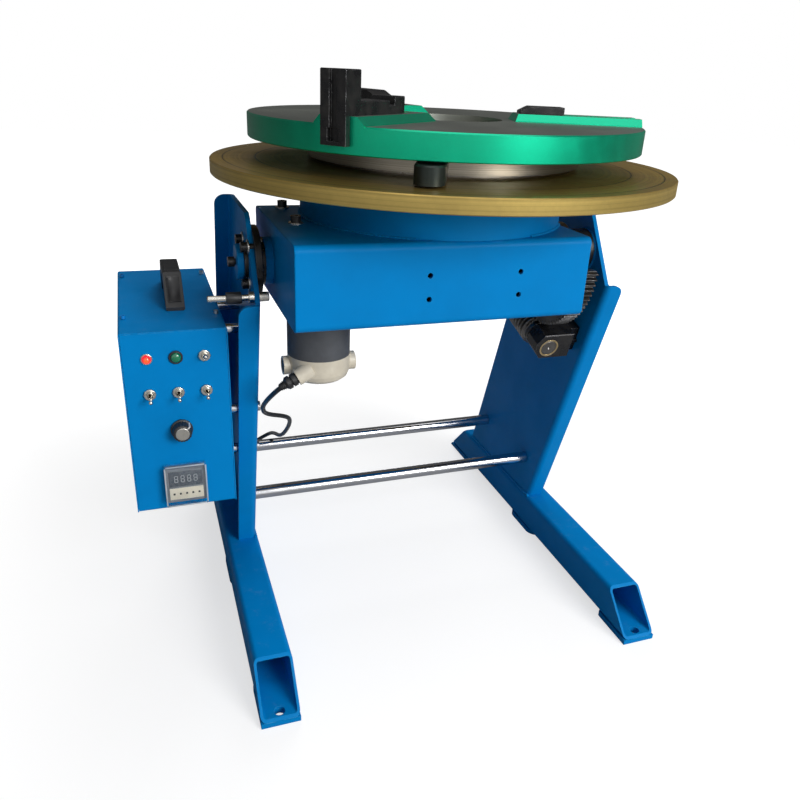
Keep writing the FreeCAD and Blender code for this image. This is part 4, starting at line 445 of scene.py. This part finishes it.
def chuck_finish():
    made, tree = new_material("green chuck")
    where = add(tree, "ShaderNodeTexCoord").outputs["Object"]
    ragged = calc(tree, "MULTIPLY", noise(tree, where, 160.0), 0.2)
    bare = ramp(tree, calc(tree, "ADD", facing_up(tree), ragged), 0.9, 1.0)
    rings = lathe_rings(tree, FINE_PITCH)
    bare = calc(tree, "MAXIMUM", bare, calc(tree, "LESS_THAN", rings["Radius"], BORE_REACH))
    flake = add(tree, "ShaderNodeTexVoronoi", {"Vector": where, "Scale": 2600.0}).outputs["Color"]
    value = add(tree, "ShaderNodeSeparateColor", {0: flake}).outputs[0]
    cloud = ramp(tree, noise(tree, where, 14.0, 6.0), 0.4, 0.72)
    green = blended(tree, calc(tree, "MULTIPLY", cloud, 0.35), (*srgb(0, 196, 148), 1),
                    (*srgb(4, 214, 164), 1))
    green = blended(tree, calc(tree, "MULTIPLY", value, 0.25), green, (*srgb(0, 118, 90), 1))
    metal = blended(tree, ramp(tree, rings["Rings"], 0.35, 0.65), (0.34, 0.355, 0.32, 1),
                    (0.22, 0.235, 0.21, 1))
    bump = add(tree, "ShaderNodeBump", {"Strength": 0.12, "Distance": 0.2 * MM,
                                        "Height": rings["Rings"]}).outputs[0]
    covered = calc(tree, "SUBTRACT", 1.0, bare)
    shaded(tree, {"Base Color": blended(tree, bare, green, metal), "Normal": bump,
                  "Roughness": calc(tree, "ADD", calc(tree, "ADD", 0.3, calc(tree, "MULTIPLY", bare, 0.12)),
                                    calc(tree, "MULTIPLY", cloud, 0.1)),
                  "Metallic": calc(tree, "ADD", 0.85, calc(tree, "MULTIPLY", bare, 0.15)),
                  "Coat Weight": calc(tree, "MULTIPLY", covered, 0.3)}, coat_roughness=0.15)
    return made


materials["chuck"] = chuck_finish()
print("chuck finish ready")

# %% [markdown]
# The scroll ring is turned bright, but the lever block bolted on it is oxidised black. Both are one solid, so
# the distance from the spindle axis tells them apart.

# %% Scroll ring finish
RING_REACH = 0.185


def scroll_finish():
    made, tree = new_material("scroll ring")
    rings = lathe_rings(tree, FINE_PITCH)
    value = rings["Rings"]
    where = add(tree, "ShaderNodeTexCoord").outputs["Object"]
    turned = blended(tree, ramp(tree, value, 0.35, 0.65), (0.34, 0.33, 0.30, 1), (0.2, 0.19, 0.17, 1))
    cloud = noise(tree, where, 50.0)
    oxide = blended(tree, cloud, (0.012, 0.02, 0.018, 1), (0.035, 0.045, 0.04, 1))
    outside = calc(tree, "GREATER_THAN", rings["Radius"], RING_REACH)
    bump = add(tree, "ShaderNodeBump", {"Strength": 0.12, "Distance": 0.2 * MM, "Height": value}).outputs[0]
    shaded(tree, {"Base Color": blended(tree, outside, turned, oxide), "Normal": bump,
                  "Metallic": calc(tree, "SUBTRACT", 1.0, calc(tree, "MULTIPLY", outside, 0.45)),
                  "Roughness": calc(tree, "ADD", 0.26, calc(tree, "MULTIPLY", cloud, 0.14))})
    return made


materials["scroll"] = scroll_finish()
print("scroll finish ready")

# %% [markdown]
# ## Lenses and the clear lid
# The lamp's red lens glows from a bulb behind its middle, so its emission is strongest where the surface
# faces outwards. The reset cap is a plain glossy green. The timer's lid is clear plastic with a faint haze.

# %% Lenses
def lens(name, color, glow=None):
    made, tree = new_material(name)
    where = add(tree, "ShaderNodeTexCoord").outputs
    cloud = noise(tree, where["Object"], 300.0)
    tone = blended(tree, calc(tree, "MULTIPLY", cloud, 0.3), (*color, 1),
                   tuple(c * 0.6 for c in color) + (1,))
    rough = calc(tree, "ADD", 0.08, calc(tree, "MULTIPLY", cloud, 0.08))
    linked = {"Base Color": tone, "Roughness": rough}
    if glow:
        front = calc(tree, "MULTIPLY", add(tree, "ShaderNodeSeparateXYZ", {0: where["Normal"]}).outputs["Y"],
                     -1.0)
        linked["Emission Color"] = blended(tree, ramp(tree, front, 0.55, 1.0), (*color, 1), (*glow, 1))
    shaded(tree, linked, coat_weight=0.6, emission_strength=1.0 if glow else 0.0)
    return made


def clear_lid():
    made, tree = new_material("clear lid")
    haze = noise(tree, add(tree, "ShaderNodeTexCoord").outputs["Object"], 60.0)
    shaded(tree, {"Roughness": calc(tree, "MULTIPLY", haze, 0.14)}, base_color=(0.9, 0.94, 0.96, 1),
           transmission_weight=1.0, ior=1.2, alpha=0.4)
    return made


materials["red_lens"] = lens("red lens", (0.8, 0.008, 0.01), glow=(1.0, 0.13, 0.015))
materials["green_lens"] = lens("green cap", (0.0, 0.19, 0.085))
materials["clear"] = clear_lid()
print("lenses ready")

# %% [markdown]
# ## Give every CAD node its finish
# The record names a material slot for each node, so one table turns slots into materials. The meshes of the
# nodes stay as they are.

# %% Finishes of the nodes
SLOT_MATERIAL = {
    "blue_paint": "blue", "green_paint": "chuck", "chrome_rod": "chrome", "black_oxide": "black_steel",
    "machined_steel": "steel", "gold_rim": "table", "zinc_screw": "zinc", "bronze": "bronze",
    "motor_grey": "motor_grey", "cream_paint": "cream", "black_plastic": "black_plastic",
        "cable_rubber": "rubber",
    "red_lens": "red_lens", "green_lens": "green_lens", "clear_cover": "clear",
}
NODE_MATERIAL = {"worm_wheel": "gear", "chuck_spacer": "cam_ring", "timer_body": "grey_plastic",
                 "scroll_ring": "scroll",
                 "jaw_2": "black_steel"}


def half_painted():
    """The box's screws on the left were sprayed with it, and those on the right are bare."""
    made, tree = new_material("cover screws")
    low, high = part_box("control_box_screws")
    where = add(tree, "ShaderNodeTexCoord").outputs["Object"]
    across = add(tree, "ShaderNodeSeparateXYZ", {0: where}).outputs["X"]
    bare = calc(tree, "GREATER_THAN", across, (low.x + high.x) / 2)
    cloud = noise(tree, where, 200.0)
    color = blended(tree, bare, (*srgb(0, 124, 196), 1), (0.64, 0.62, 0.57, 1))
    shaded(tree, {"Base Color": color, "Metallic": bare,
                  "Roughness": calc(tree, "ADD", 0.25, calc(tree, "MULTIPLY", cloud, 0.2))})
    return made


materials["cover_screws"] = half_painted()
NODE_MATERIAL["control_box_screws"] = "cover_screws"
slot_of = {part["node"]: part["material_slot"] for part in frame["record"]["subparts"]}
for name, node in NODES.items():
    node.data.materials.clear()
    node.data.materials.append(materials[NODE_MATERIAL.get(name, SLOT_MATERIAL[slot_of[name]])])
print("finished nodes:", len(NODES))

# %% [markdown]
# ## Indicator lamp and reset button
# Both stand out of the panel on the same axis direction, so they are spun upright and turned to face the
# operator. The lamp is a red dome in a thin bright rim. The reset cap is a green dome, and rides on the
# button's own body, because it moves when pressed.

# %% Lamp and reset
def middle(node):
    low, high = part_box(node)
    return (low + high) / 2


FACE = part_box("control_box_body")[0].y


def on_panel(mesh, node, out=0.0, roll=0.0):
    centre = middle(node)
    turn = PANEL_OUT @ Matrix.Rotation(roll, 4, "Z")
    return moved(mesh, (centre.x, FACE - out * MM, centre.z), turn)


dome = spun([(0, 7.2), (2.2, 6.9), (4.2, 5.6), (5.4, 3.4), (5.6, 1.2), (5.6, -11.5), (0, -11.5)])
finished("lamp_dome", on_panel(dome, "signal_lamp"), materials["red_lens"], "base",
         replaces=("signal_lamp",))
rim = spun([(5.7, -0.1), (7.2, -0.1), (7.2, 1.3), (6.6, 2.0), (5.7, 2.0)], closed=True)
finished("lamp_rim", on_panel(rim, "signal_lamp"), materials["zinc"], "base")
cap = spun([(0, -6), (6.2, -6), (6.2, 3.2), (5.7, 4.4), (4.2, 5.4), (2.2, 5.9), (0, 6.1)])
finished("reset_cap", on_panel(cap, "reset_button"), materials["green_lens"], "reset",
         replaces=("reset_button",))

# %% [markdown]
# ## Toggle switches
# A bat lever swells towards a ball-like tip, and hangs on a pin inside its bush. A round nut with flats
# clamps the bush. The nut starts as a circle of few sides, which gives the flats without any drawing.

# %% Toggle levers and nuts
def bat_lever(number, up):
    lever = spun([(0, -2), (1.3, -2), (1.3, 3), (1.5, 9), (1.9, 15.2), (2.5, 17.3), (2.6, 18.5), (2.1, 19.9),
                  (1.1, 20.7), (0, 20.9)], 24)
    lean = Matrix.Rotation(math.radians(-12 if up else 12), 4, "X")
    hole = middle(f"toggle_lever_{number}")
    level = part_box("toggle_bushes")
    row = (level[1].z if up else level[0].z) + (-7.25 if up else 7.25) * MM
    moved(lever, (hole.x, FACE, row), lean @ PANEL_OUT)
    finished(f"toggle_bat_{number}", lever, materials["zinc"], f"toggle_{number}",
             replaces=(f"toggle_lever_{number}",))
    nut = spun([(4.15, 0.1), (7.7, 0.1), (7.7, 2.6), (6.9, 3.5), (4.15, 3.5)], 10, closed=True)
    return moved(nut, (hole.x, FACE, row), PANEL_OUT)


nuts = [bat_lever(number, number == 1) for number in (1, 2, 3, 4)]
finished("toggle_nuts", joined(nuts), materials["zinc"], "base")

# %% [markdown]
# ## Speed knob
# A fluted skirt gives the fingers grip, and an aluminium disc is let into its front. The flutes are made by
# pulling every third column of the spun skirt inwards.

# %% Knob
def fluted_skirt():
    skirt = spun([(0, 0.6), (13.9, 0.6), (13.9, 3.0), (12.4, 4.0), (12.0, 14.6), (11.0, 16.2), (9.4, 16.9),
                  (0, 16.9)], 60)
    for corner in skirt.verts:
        step = round(math.atan2(corner.co.y, corner.co.x) / (2 * math.pi) * 60)
        if corner.co.z > 3.5 * MM and corner.co.xy.length > 9 * MM and step % 3 == 0:
            corner.co.xy *= 0.93
    return skirt


POINT_TO = math.radians(-45)
finished("knob_skirt", on_panel(fluted_skirt(), "speed_knob"), materials["black_plastic"],
         "knob",
         replaces=("speed_knob",))
disc = spun([(0, 16.6), (8.6, 16.6), (8.6, 17.4), (8.0, 17.7), (6.2, 17.5), (4.0, 17.7), (2.0, 17.5),
            (0, 17.7)])
finished("knob_disc", on_panel(disc, "speed_knob"), materials["zinc"], "knob")
pointer = moved(bar(1.5, 5.0, 13.4), (0, 11.4 * MM, 3.9 * MM))
finished("knob_pointer", on_panel(pointer, "speed_knob", roll=POINT_TO), materials["white_mark"],
         "knob")

# %% [markdown]
# ## Timer face
# Behind the clear lid sit four pale digits in a grey window, and a row of small setting marks. Each digit is
# seven flat bars, three across and four upright. They are real bars rather than a picture, so they stay
# sharp.

# %% Digits, marks and the lip of the lid
def digit():
    bars = [moved(bar(3.4, 0.9, 0.25), (0, high * MM, 0)) for high in (-4.6, 0, 4.6)]
    for side in (-2.0, 2.0):
        bars += [moved(bar(0.9, 3.6, 0.25), (side * MM, high * MM, 0)) for high in (-2.3, 2.3)]
    return joined(bars)


WINDOW_UP, PLATE_UP = 9.5, -12.5
DIGIT_STEP, MARK_STEP = 8.2, 8
TIMER_FRONT = (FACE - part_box("timer_body")[0].y) / MM
window = bar(43, 22, 0.6, 0.25)
finished("timer_window", on_panel(moved(window, (0, WINDOW_UP * MM, 0)), "timer_body", TIMER_FRONT),
         materials["window"], "base")
digits = joined([moved(digit(),
                ((place - 1.5) * DIGIT_STEP * MM, WINDOW_UP * MM, 0.55 * MM)) for place in range(4)])
finished("timer_digits", on_panel(digits, "timer_body", TIMER_FRONT), materials["segment"],
         "base")
plate = moved(bar(43, 17, 0.8, 0.3), (0, PLATE_UP * MM, 0))
finished("timer_plate", on_panel(plate, "timer_body", TIMER_FRONT), materials["cream"], "base")
marks = [moved(bar(2.6, 2.8, 0.5, 0.15),
         ((place - 2) * MARK_STEP * MM, PLATE_UP * MM, 0.6 * MM)) for place in range(5)]
finished("timer_wheels", on_panel(joined(marks), "timer_body", TIMER_FRONT), materials["black_plastic"],
         "base")


def lid_rim():
    """A frosted lip round the front of the clear lid, where the moulding is thickest."""
    low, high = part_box("timer_cover")
    wide, tall = (high.x - low.x) / MM, (high.z - low.z) / MM
    lip = 1.8
    sides = [moved(bar(wide - 4, lip, 0.5, 0.12), (0, side * (tall - lip) / 2 * MM, 0)) for side in (-1, 1)]
    sides += [moved(bar(lip, tall - 4, 0.5, 0.12), (side * (wide - lip) / 2 * MM, 0, 0)) for side in (-1, 1)]
    return on_panel(joined(sides), "timer_cover", (FACE - low.y) / MM - 0.2)


finished("timer_lid_rim", lid_rim(), materials["frosted"], "cover")

# %% [markdown]
# ## Carrying handle
# The moulded handle has a shallow sunken panel on the sloping front leg and along its grip, framed by a rim.
# A rim is quickest to make by insetting the face of a block and pushing the inner face down.

# %% Handle panel
def framed_panel(wide, long):
    panel = bar(wide, long, 1.1)
    top = [face for face in panel.faces if face.normal.z > 0.9]
    bmesh.ops.inset_region(panel, faces=top, thickness=1.6 * MM, use_even_offset=True)
    inner = min((face for face in panel.faces if face.normal.z > 0.9), key=lambda face: -face.calc_area())
    bmesh.ops.translate(panel, verts=inner.verts, vec=(0, 0, -0.8 * MM))
    return panel


def handle_panels():
    low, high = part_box("carry_handle")
    centre, top = (low.x + high.x) / 2, high.z
    run, rise = 38 * MM, (high.z - low.z) - 5 * MM
    slope = math.atan2(rise, run)
    spot = Vector((centre, low.y + run / 2, low.z + 5 * MM + rise / 2))
    front = moved(framed_panel(17, 38), spot - Vector((0, math.sin(slope), -math.cos(slope))) * 0.2 * MM,
                  Matrix.Rotation(slope, 4, "X"))
    grip = moved(framed_panel(17, 60), (centre, (low.y + high.y) / 2, top - 0.4 * MM))
    return joined([front, grip])


finished("handle_panels", handle_panels(), materials["black_plastic"], "base")

# %% [markdown]
# ## Bright washers and set screws
# The cap screws of the bearing hub and of the gearbox are black, but their washers are bright steel and wider
# than the heads. Each washer is a closed ring profile spun round the screw. Two small set screws sit in the
# black ring beside the beam.

# %% Washers
def washer(size):
    return spun([(size * 0.55, -0.1), (size * 1.16, -0.1), (size * 1.16, size * 0.19),
                (size * 1.1, size * 0.24),
                 (size * 0.55, size * 0.24)], 32, closed=True)


POST_SHEET = 6 * MM
SCREW_INSET = 8.4 * MM  # from the screws' outer edge to their centres


def hub_washers():
    low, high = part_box("bearing_screws")
    face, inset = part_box("post_left")[1].x - POST_SHEET, SCREW_INSET
    spots = [(face, y, z) for y in (low.y + inset, high.y - inset) for z in (low.z + inset, high.z - inset)]
    return joined([moved(washer(8), spot, LEFT_OUT) for spot in spots])


finished("hub_washers", hub_washers(), materials["bright"], "base")
BEAM_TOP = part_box("beam_box")[1].z
caps = [moved(washer(8), (x * MM, y * MM, BEAM_TOP)) for x, y in ((-187, 10), (-191, -99))]
finished("beam_washers", joined(caps), materials["bright"], "beam")


def set_screws():
    low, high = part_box("beam_box")
    ring_x = low.x - 2.5 * MM
    pair = []
    for side in (-22, 22):
        tilt = Matrix.Rotation(math.radians(side), 4, "X")
        screw = spun([(0, 0.2), (0.9, 0.2), (0.9, 0.7), (1.9, 0.7), (1.9, -1.0), (0, -1.0)], 12)
        at = Vector((ring_x, middle("end_cap").y, middle("end_cap").z)) + tilt.to_3x3() @ Vector((0, 0,
                                                                                                 29.5 * MM))
        pair.append(moved(screw, at, tilt))
    return joined(pair)


finished("ring_set_screws", set_screws(), materials["zinc"], "beam")

# %% [markdown]
# ## Stop bolt
# A bolt through the left post carries a short black sleeve. The sleeve is a closed ring profile, spun upright
# and laid along the bolt.

# %% Stop bolt
def stop_pieces():
    low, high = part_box("stop_bolt")
    at = (low.x, middle("stop_bolt").y, middle("stop_bolt").z)
    reach, thick = (high.x - low.x) / MM, (high.y - low.y) / 2 / MM
    along = Matrix.Rotation(math.radians(90), 4, "Y")
    wide = thick + 0.5
    sleeve = spun([(3.5, reach * 0.3), (wide - 0.5, reach * 0.3), (wide, reach * 0.32),
                   (wide, reach * 0.53), (wide - 0.5, reach * 0.55), (3.5, reach * 0.55)], 32, closed=True)
    return moved(sleeve, at, along)


finished("stop_sleeve", stop_pieces(), materials["rubber"], "base")

# %% [markdown]
# ## Weld beads
# The drum is welded to the beam box, the posts to the feet, and the bearing sleeve to the post. A bead is a
# row of overlapping puddles. A small circle is spun round the seam, and every second ring of it is drawn in a
# little, so the bead ripples. Straight seams use a row of flattened balls instead.

# %% Beads
def round_bead(radius, size, start, sweep):
    """A rippled bead round Z, through part of a turn, in degrees and millimetres."""
    mesh = bmesh.new()
    ring = bmesh.ops.create_circle(mesh, segments=8, radius=size * MM)["verts"]
    upright = Matrix.Translation((radius * MM, 0, 0)) @ Matrix.Rotation(math.radians(90), 4, "X")
    bmesh.ops.transform(mesh, matrix=upright, verts=ring)
    steps = max(8, int(math.radians(sweep) * radius / 1.6))
    bmesh.ops.rotate(mesh, cent=(0, 0, 0), matrix=Matrix.Rotation(math.radians(start), 3, "Z"), verts=ring)
    bmesh.ops.spin(mesh, geom=mesh.verts[:] + mesh.edges[:], cent=(0, 0, 0), axis=(0, 0, 1),
                   angle=math.radians(sweep), steps=steps)
    bmesh.ops.remove_doubles(mesh, verts=mesh.verts, dist=1e-6)
    for corner in mesh.verts:
        turn = math.degrees(math.atan2(corner.co.y, corner.co.x)) % 360 - start
        puddle = 0.5 + 0.5 * math.cos(2 * math.pi * (turn % 360) / sweep * steps / 3)
        along = Vector((corner.co.x, corner.co.y, 0)).normalized() * radius * MM
        corner.co = along + (corner.co - along) * (0.72 + 0.28 * puddle)
    bmesh.ops.holes_fill(mesh, edges=[edge for edge in mesh.edges if edge.is_boundary], sides=12)
    return mesh


def straight_bead(start, end, size=3.0):
    start, end = Vector(start), Vector(end)
    count = int((end - start).length / (2.2 * MM))
    balls = bmesh.new()
    for step in range(count + 1):
        ball = bmesh.ops.create_icosphere(balls, subdivisions=1,
                                          radius=size * MM * (1 + 0.08 * math.sin(step * 2.4)))
        bmesh.ops.translate(balls, verts=ball["verts"], vec=start.lerp(end, step / count))
    return balls


drum = middle("drum_housing")
drum_low, drum_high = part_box("drum_housing")
drum_radius = (drum_high.x - drum_low.x) / 2 / MM
beads = [moved(round_bead(drum_radius, 2.6, start, sweep), (drum.x, drum.y, BEAM_TOP))
         for start, sweep in ((152, 92), (294, 34))]
finished("drum_bead", joined(beads), materials["blue"], "beam")
bead = moved(round_bead(29.5, 2.4, 0, 359.9),
             (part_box("post_right")[0].x, middle("end_cap").y, middle("end_cap").z),
             LEFT_OUT)
finished("sleeve_bead", bead, materials["blue"], "base")
seams = []
for side in ("left", "right"):
    low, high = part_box(f"foot_{side}")
    inner = high.x if side == "left" else low.x
    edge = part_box(f"post_{side}")
    web = edge[1].x if side == "left" else edge[0].x
    seams.append(straight_bead((web, -0.004, high.z + 0.5 * MM), (web, 0.240, high.z + 0.5 * MM)))
finished("foot_beads", joined(seams), materials["blue"], "base")

# %% [markdown]
# ## Motor lead
# A rubber-sheathed lead hangs from the motor's gland, swings out past the post, drops behind the rear tie rod
# and enters the control box from below. It follows one NURBS line, as a real cable takes one smooth bend
# after another. It crosses the tilt joint.

# %% Route of the lead
GLAND_ROOT = Vector((-0.170 - 0.040 * 0.675, -0.130 - 0.040 * 0.75, 0.402))
GLAND_WAY = Vector((-0.896, -0.073, -0.438)).normalized()
EXIT = GLAND_ROOT + GLAND_WAY * 0.010
ROUTE = [
    (-0.224, -0.162, 0.389), (-0.234, -0.127, 0.360), (-0.235, -0.088, 0.334), (-0.234, -0.062, 0.316),
    (-0.228, -0.042, 0.296), (-0.190, -0.017, 0.277), (-0.181, 0.012, 0.254), (-0.179, 0.050, 0.222),
    (-0.180, 0.105, 0.182), (-0.181, 0.165, 0.160), (-0.184, 0.204, 0.140), (-0.219, 0.203, 0.122),
    (-0.300, 0.203, 0.122), (-0.325, 0.150, 0.146), (-0.325, 0.150, 0.209),
]


def spline_points(points, name):
    """Points of the smooth line through a route, closely spaced."""
    line = bpy.data.curves.new(name, "CURVE")
    line.dimensions = "3D"
    spline = line.splines.new("NURBS")
    spline.points.add(len(points) - 1)
    for target, point in zip(spline.points, points):
        target.co = (*point, 1)
    spline.order_u = 3
    spline.use_endpoint_u = True
    spline.resolution_u = 12
    holder = bpy.data.objects.new(name, line)
    bpy.context.scene.collection.objects.link(holder)
    bpy.context.view_layer.update()
    mesh = bpy.data.meshes.new_from_object(holder)
    found = [v.co.copy() for v in mesh.vertices]
    bpy.data.objects.remove(holder)
    return found


LEAD_LINE = spline_points([EXIT] + [Vector(point) for point in ROUTE], "lead_line")

# %% The lead itself
def hose(points, radius, sides=16):
    """A round tube: a circle carried along the line and bridged ring by ring."""
    mesh = bmesh.new()
    side = (points[1] - points[0]).orthogonal().normalized()
    last = None
    for i, point in enumerate(points):
        ahead = (points[min(i + 1, len(points) - 1)] - points[max(i - 1, 0)]).normalized()
        side = (side - ahead * side.dot(ahead)).normalized()
        frame_here = Matrix((side, ahead.cross(side), ahead)).transposed().to_4x4()
        ring = bmesh.ops.create_circle(mesh, segments=sides, radius=radius,
                                       matrix=Matrix.Translation(point) @ frame_here)["verts"]
        edges = [edge for edge in mesh.edges if edge.verts[0] in ring]
        if last:
            bmesh.ops.bridge_loops(mesh, edges=last + edges)
        last = edges
    bmesh.ops.holes_fill(mesh, edges=[edge for edge in mesh.edges if edge.is_boundary], sides=sides)
    return mesh


def motor_lead():
    mesh = hose(LEAD_LINE, 0.00325)
    bmesh.ops.recalc_face_normals(mesh, faces=mesh.faces)
    data = bpy.data.meshes.new("motor_lead")
    mesh.to_mesh(data)
    mesh.free()
    data.materials.append(materials["rubber"])
    data.shade_smooth()
    lead = bpy.data.objects.new("motor_lead", data)
    bpy.context.scene.collection.objects.link(lead)
    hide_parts("motor_cable")
    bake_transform(lead)
    return lead


print("lead faces:", len(motor_lead().data.polygons))

# %% [markdown]
# ## Strain relief
# Rubber sleeves keep the lead from kinking at the motor and at the box. Each one tapers and is ribbed, so its
# half outline steps in and out on the way down.

# %% Sleeves
def relief(length, wide, narrow, ribs=4):
    outline = [(3.3, 0), (wide, 0)]
    for rib in range(ribs):
        here = wide + (narrow - wide) * (rib + 1) / ribs
        step = length / ribs
        outline += [(here, step * (rib + 0.55)), (here - 0.7, step * (rib + 0.6)),
                    (here - 0.7, step * (rib + 0.95)),
                    (here, step * (rib + 1))]
    return spun(outline + [(3.3, length)], 24, closed=True)


down_gland = GLAND_WAY.to_track_quat("Z", "Y").to_matrix().to_4x4()
finished("motor_relief", moved(relief(9, 6.4, 4.6), GLAND_ROOT + GLAND_WAY * 0.0245, down_gland),
         materials["rubber"], "beam")
box_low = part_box("control_box_body")[0].z
finished("box_relief", moved(relief(12, 6.4, 4.6), (-0.325, 0.150, box_low - 13.5 * MM),
                             Matrix.Rotation(math.pi, 4, "X")), materials["rubber"], "base")

# %% [markdown]
# ## Studio
# A pale floor, a white room, one large soft lamp in front on the right and weaker ones above and behind.
# Camera rays see a white world, while the light that reaches the machine is kept lower, so colours render as
# they are written. The room is dimmer on the left, which leaves the faces turned that way dark.

# %% Floor, world and lamps
def floor_piece():
    mesh = bmesh.new()
    bmesh.ops.create_grid(mesh, x_segments=2, y_segments=2, size=8)
    data = bpy.data.meshes.new("floor")
    mesh.to_mesh(data)
    mesh.free()
    floor = bpy.data.objects.new("floor", data)
    bpy.context.scene.collection.objects.link(floor)
    made, tree = new_material("floor")
    where = add(tree, "ShaderNodeTexCoord").outputs["Object"]
    away = add(tree, "ShaderNodeVectorMath", {0: where}, operation="LENGTH").outputs["Value"]
    # The floor's glow for camera rays is weaker near the machine: a painted shade round it, so that its real
    # shadow still shows.
    floor_glow_with_painted_shade = calc(tree, "MULTIPLY", add(tree, "ShaderNodeLightPath").outputs["Is Camera Ray"],
                calc(tree, "ADD", 0.66, calc(tree, "MULTIPLY", ramp(tree, away, 0.45, 1.5), 0.34)))
    glow = add(tree, "ShaderNodeCombineXYZ", {0: floor_glow_with_painted_shade, 1: floor_glow_with_painted_shade, 2: floor_glow_with_painted_shade}).outputs[0]
    shaded(tree, {"Emission Color": glow}, base_color=(0.45, 0.45, 0.45, 1), roughness=0.9,
           specular_ior_level=0.1,
           emission_strength=1.0)
    data.materials.append(made)


WINDOW = (0.62, -0.70, 0.35)  # the direction from which the room is brightest
MIRRORED = (-0.24, -0.95, 0.20)  # the bright wall that polished surfaces reflect


def room():
    world = bpy.data.worlds.new("studio")
    bpy.context.scene.world = world
    world.use_nodes = True
    tree = world.node_tree
    ground = tree.nodes["Background"]
    ray = add(tree, "ShaderNodeLightPath").outputs
    seen = calc(tree, "MAXIMUM", ray["Is Camera Ray"], ray["Is Transmission Ray"])
    way = add(tree, "ShaderNodeTexCoord").outputs["Generated"]
    bright = add(tree, "ShaderNodeVectorMath", {0: way, 1: WINDOW}, operation="DOT_PRODUCT").outputs["Value"]
    soft = calc(tree, "ADD", 0.04, calc(tree, "MULTIPLY", ramp(tree, bright, -0.5, 0.9), 0.34))
    ahead = add(tree, "ShaderNodeVectorMath", {0: way, 1: MIRRORED}, operation="DOT_PRODUCT").outputs["Value"]
    mirror = calc(tree, "ADD", 0.09, calc(tree, "MULTIPLY", ramp(tree, ahead, 0.1, 0.95), 0.95))
    level = add(tree, "ShaderNodeMix", {0: ray["Is Glossy Ray"], 2: soft, 3: mirror},
                data_type="FLOAT").outputs[0]
    level = calc(tree, "MAXIMUM", level, seen)
    tree.links.new(level, ground.inputs["Strength"])
    ground.inputs["Color"].default_value = (1, 1, 1, 1)


def lamp(name, at, size, power, mirrored=True):
    light = bpy.data.lights.new(name, "AREA")
    light.size, light.energy = size, power
    held = bpy.data.objects.new(name, light)
    held.location = at
    held.rotation_euler = (Vector((0, 0, 0.4)) - Vector(at)).to_track_quat("-Z", "Y").to_euler()
    held.visible_glossy = mirrored
    bpy.context.scene.collection.objects.link(held)


floor_piece()
room()
lamp("key", (1.3, -2.9, 1.7), 1.6, 90)
lamp("top", (0.3, -0.2, 3.0), 2.0, 16)
lamp("behind", (0.7, 2.8, 1.6), 1.4, 38, mirrored=False)
bpy.context.scene.view_settings.view_transform = "Standard"
print("studio ready")

# %% [markdown]
# ## Update

# %% Update the view layer
bpy.context.view_layer.update()
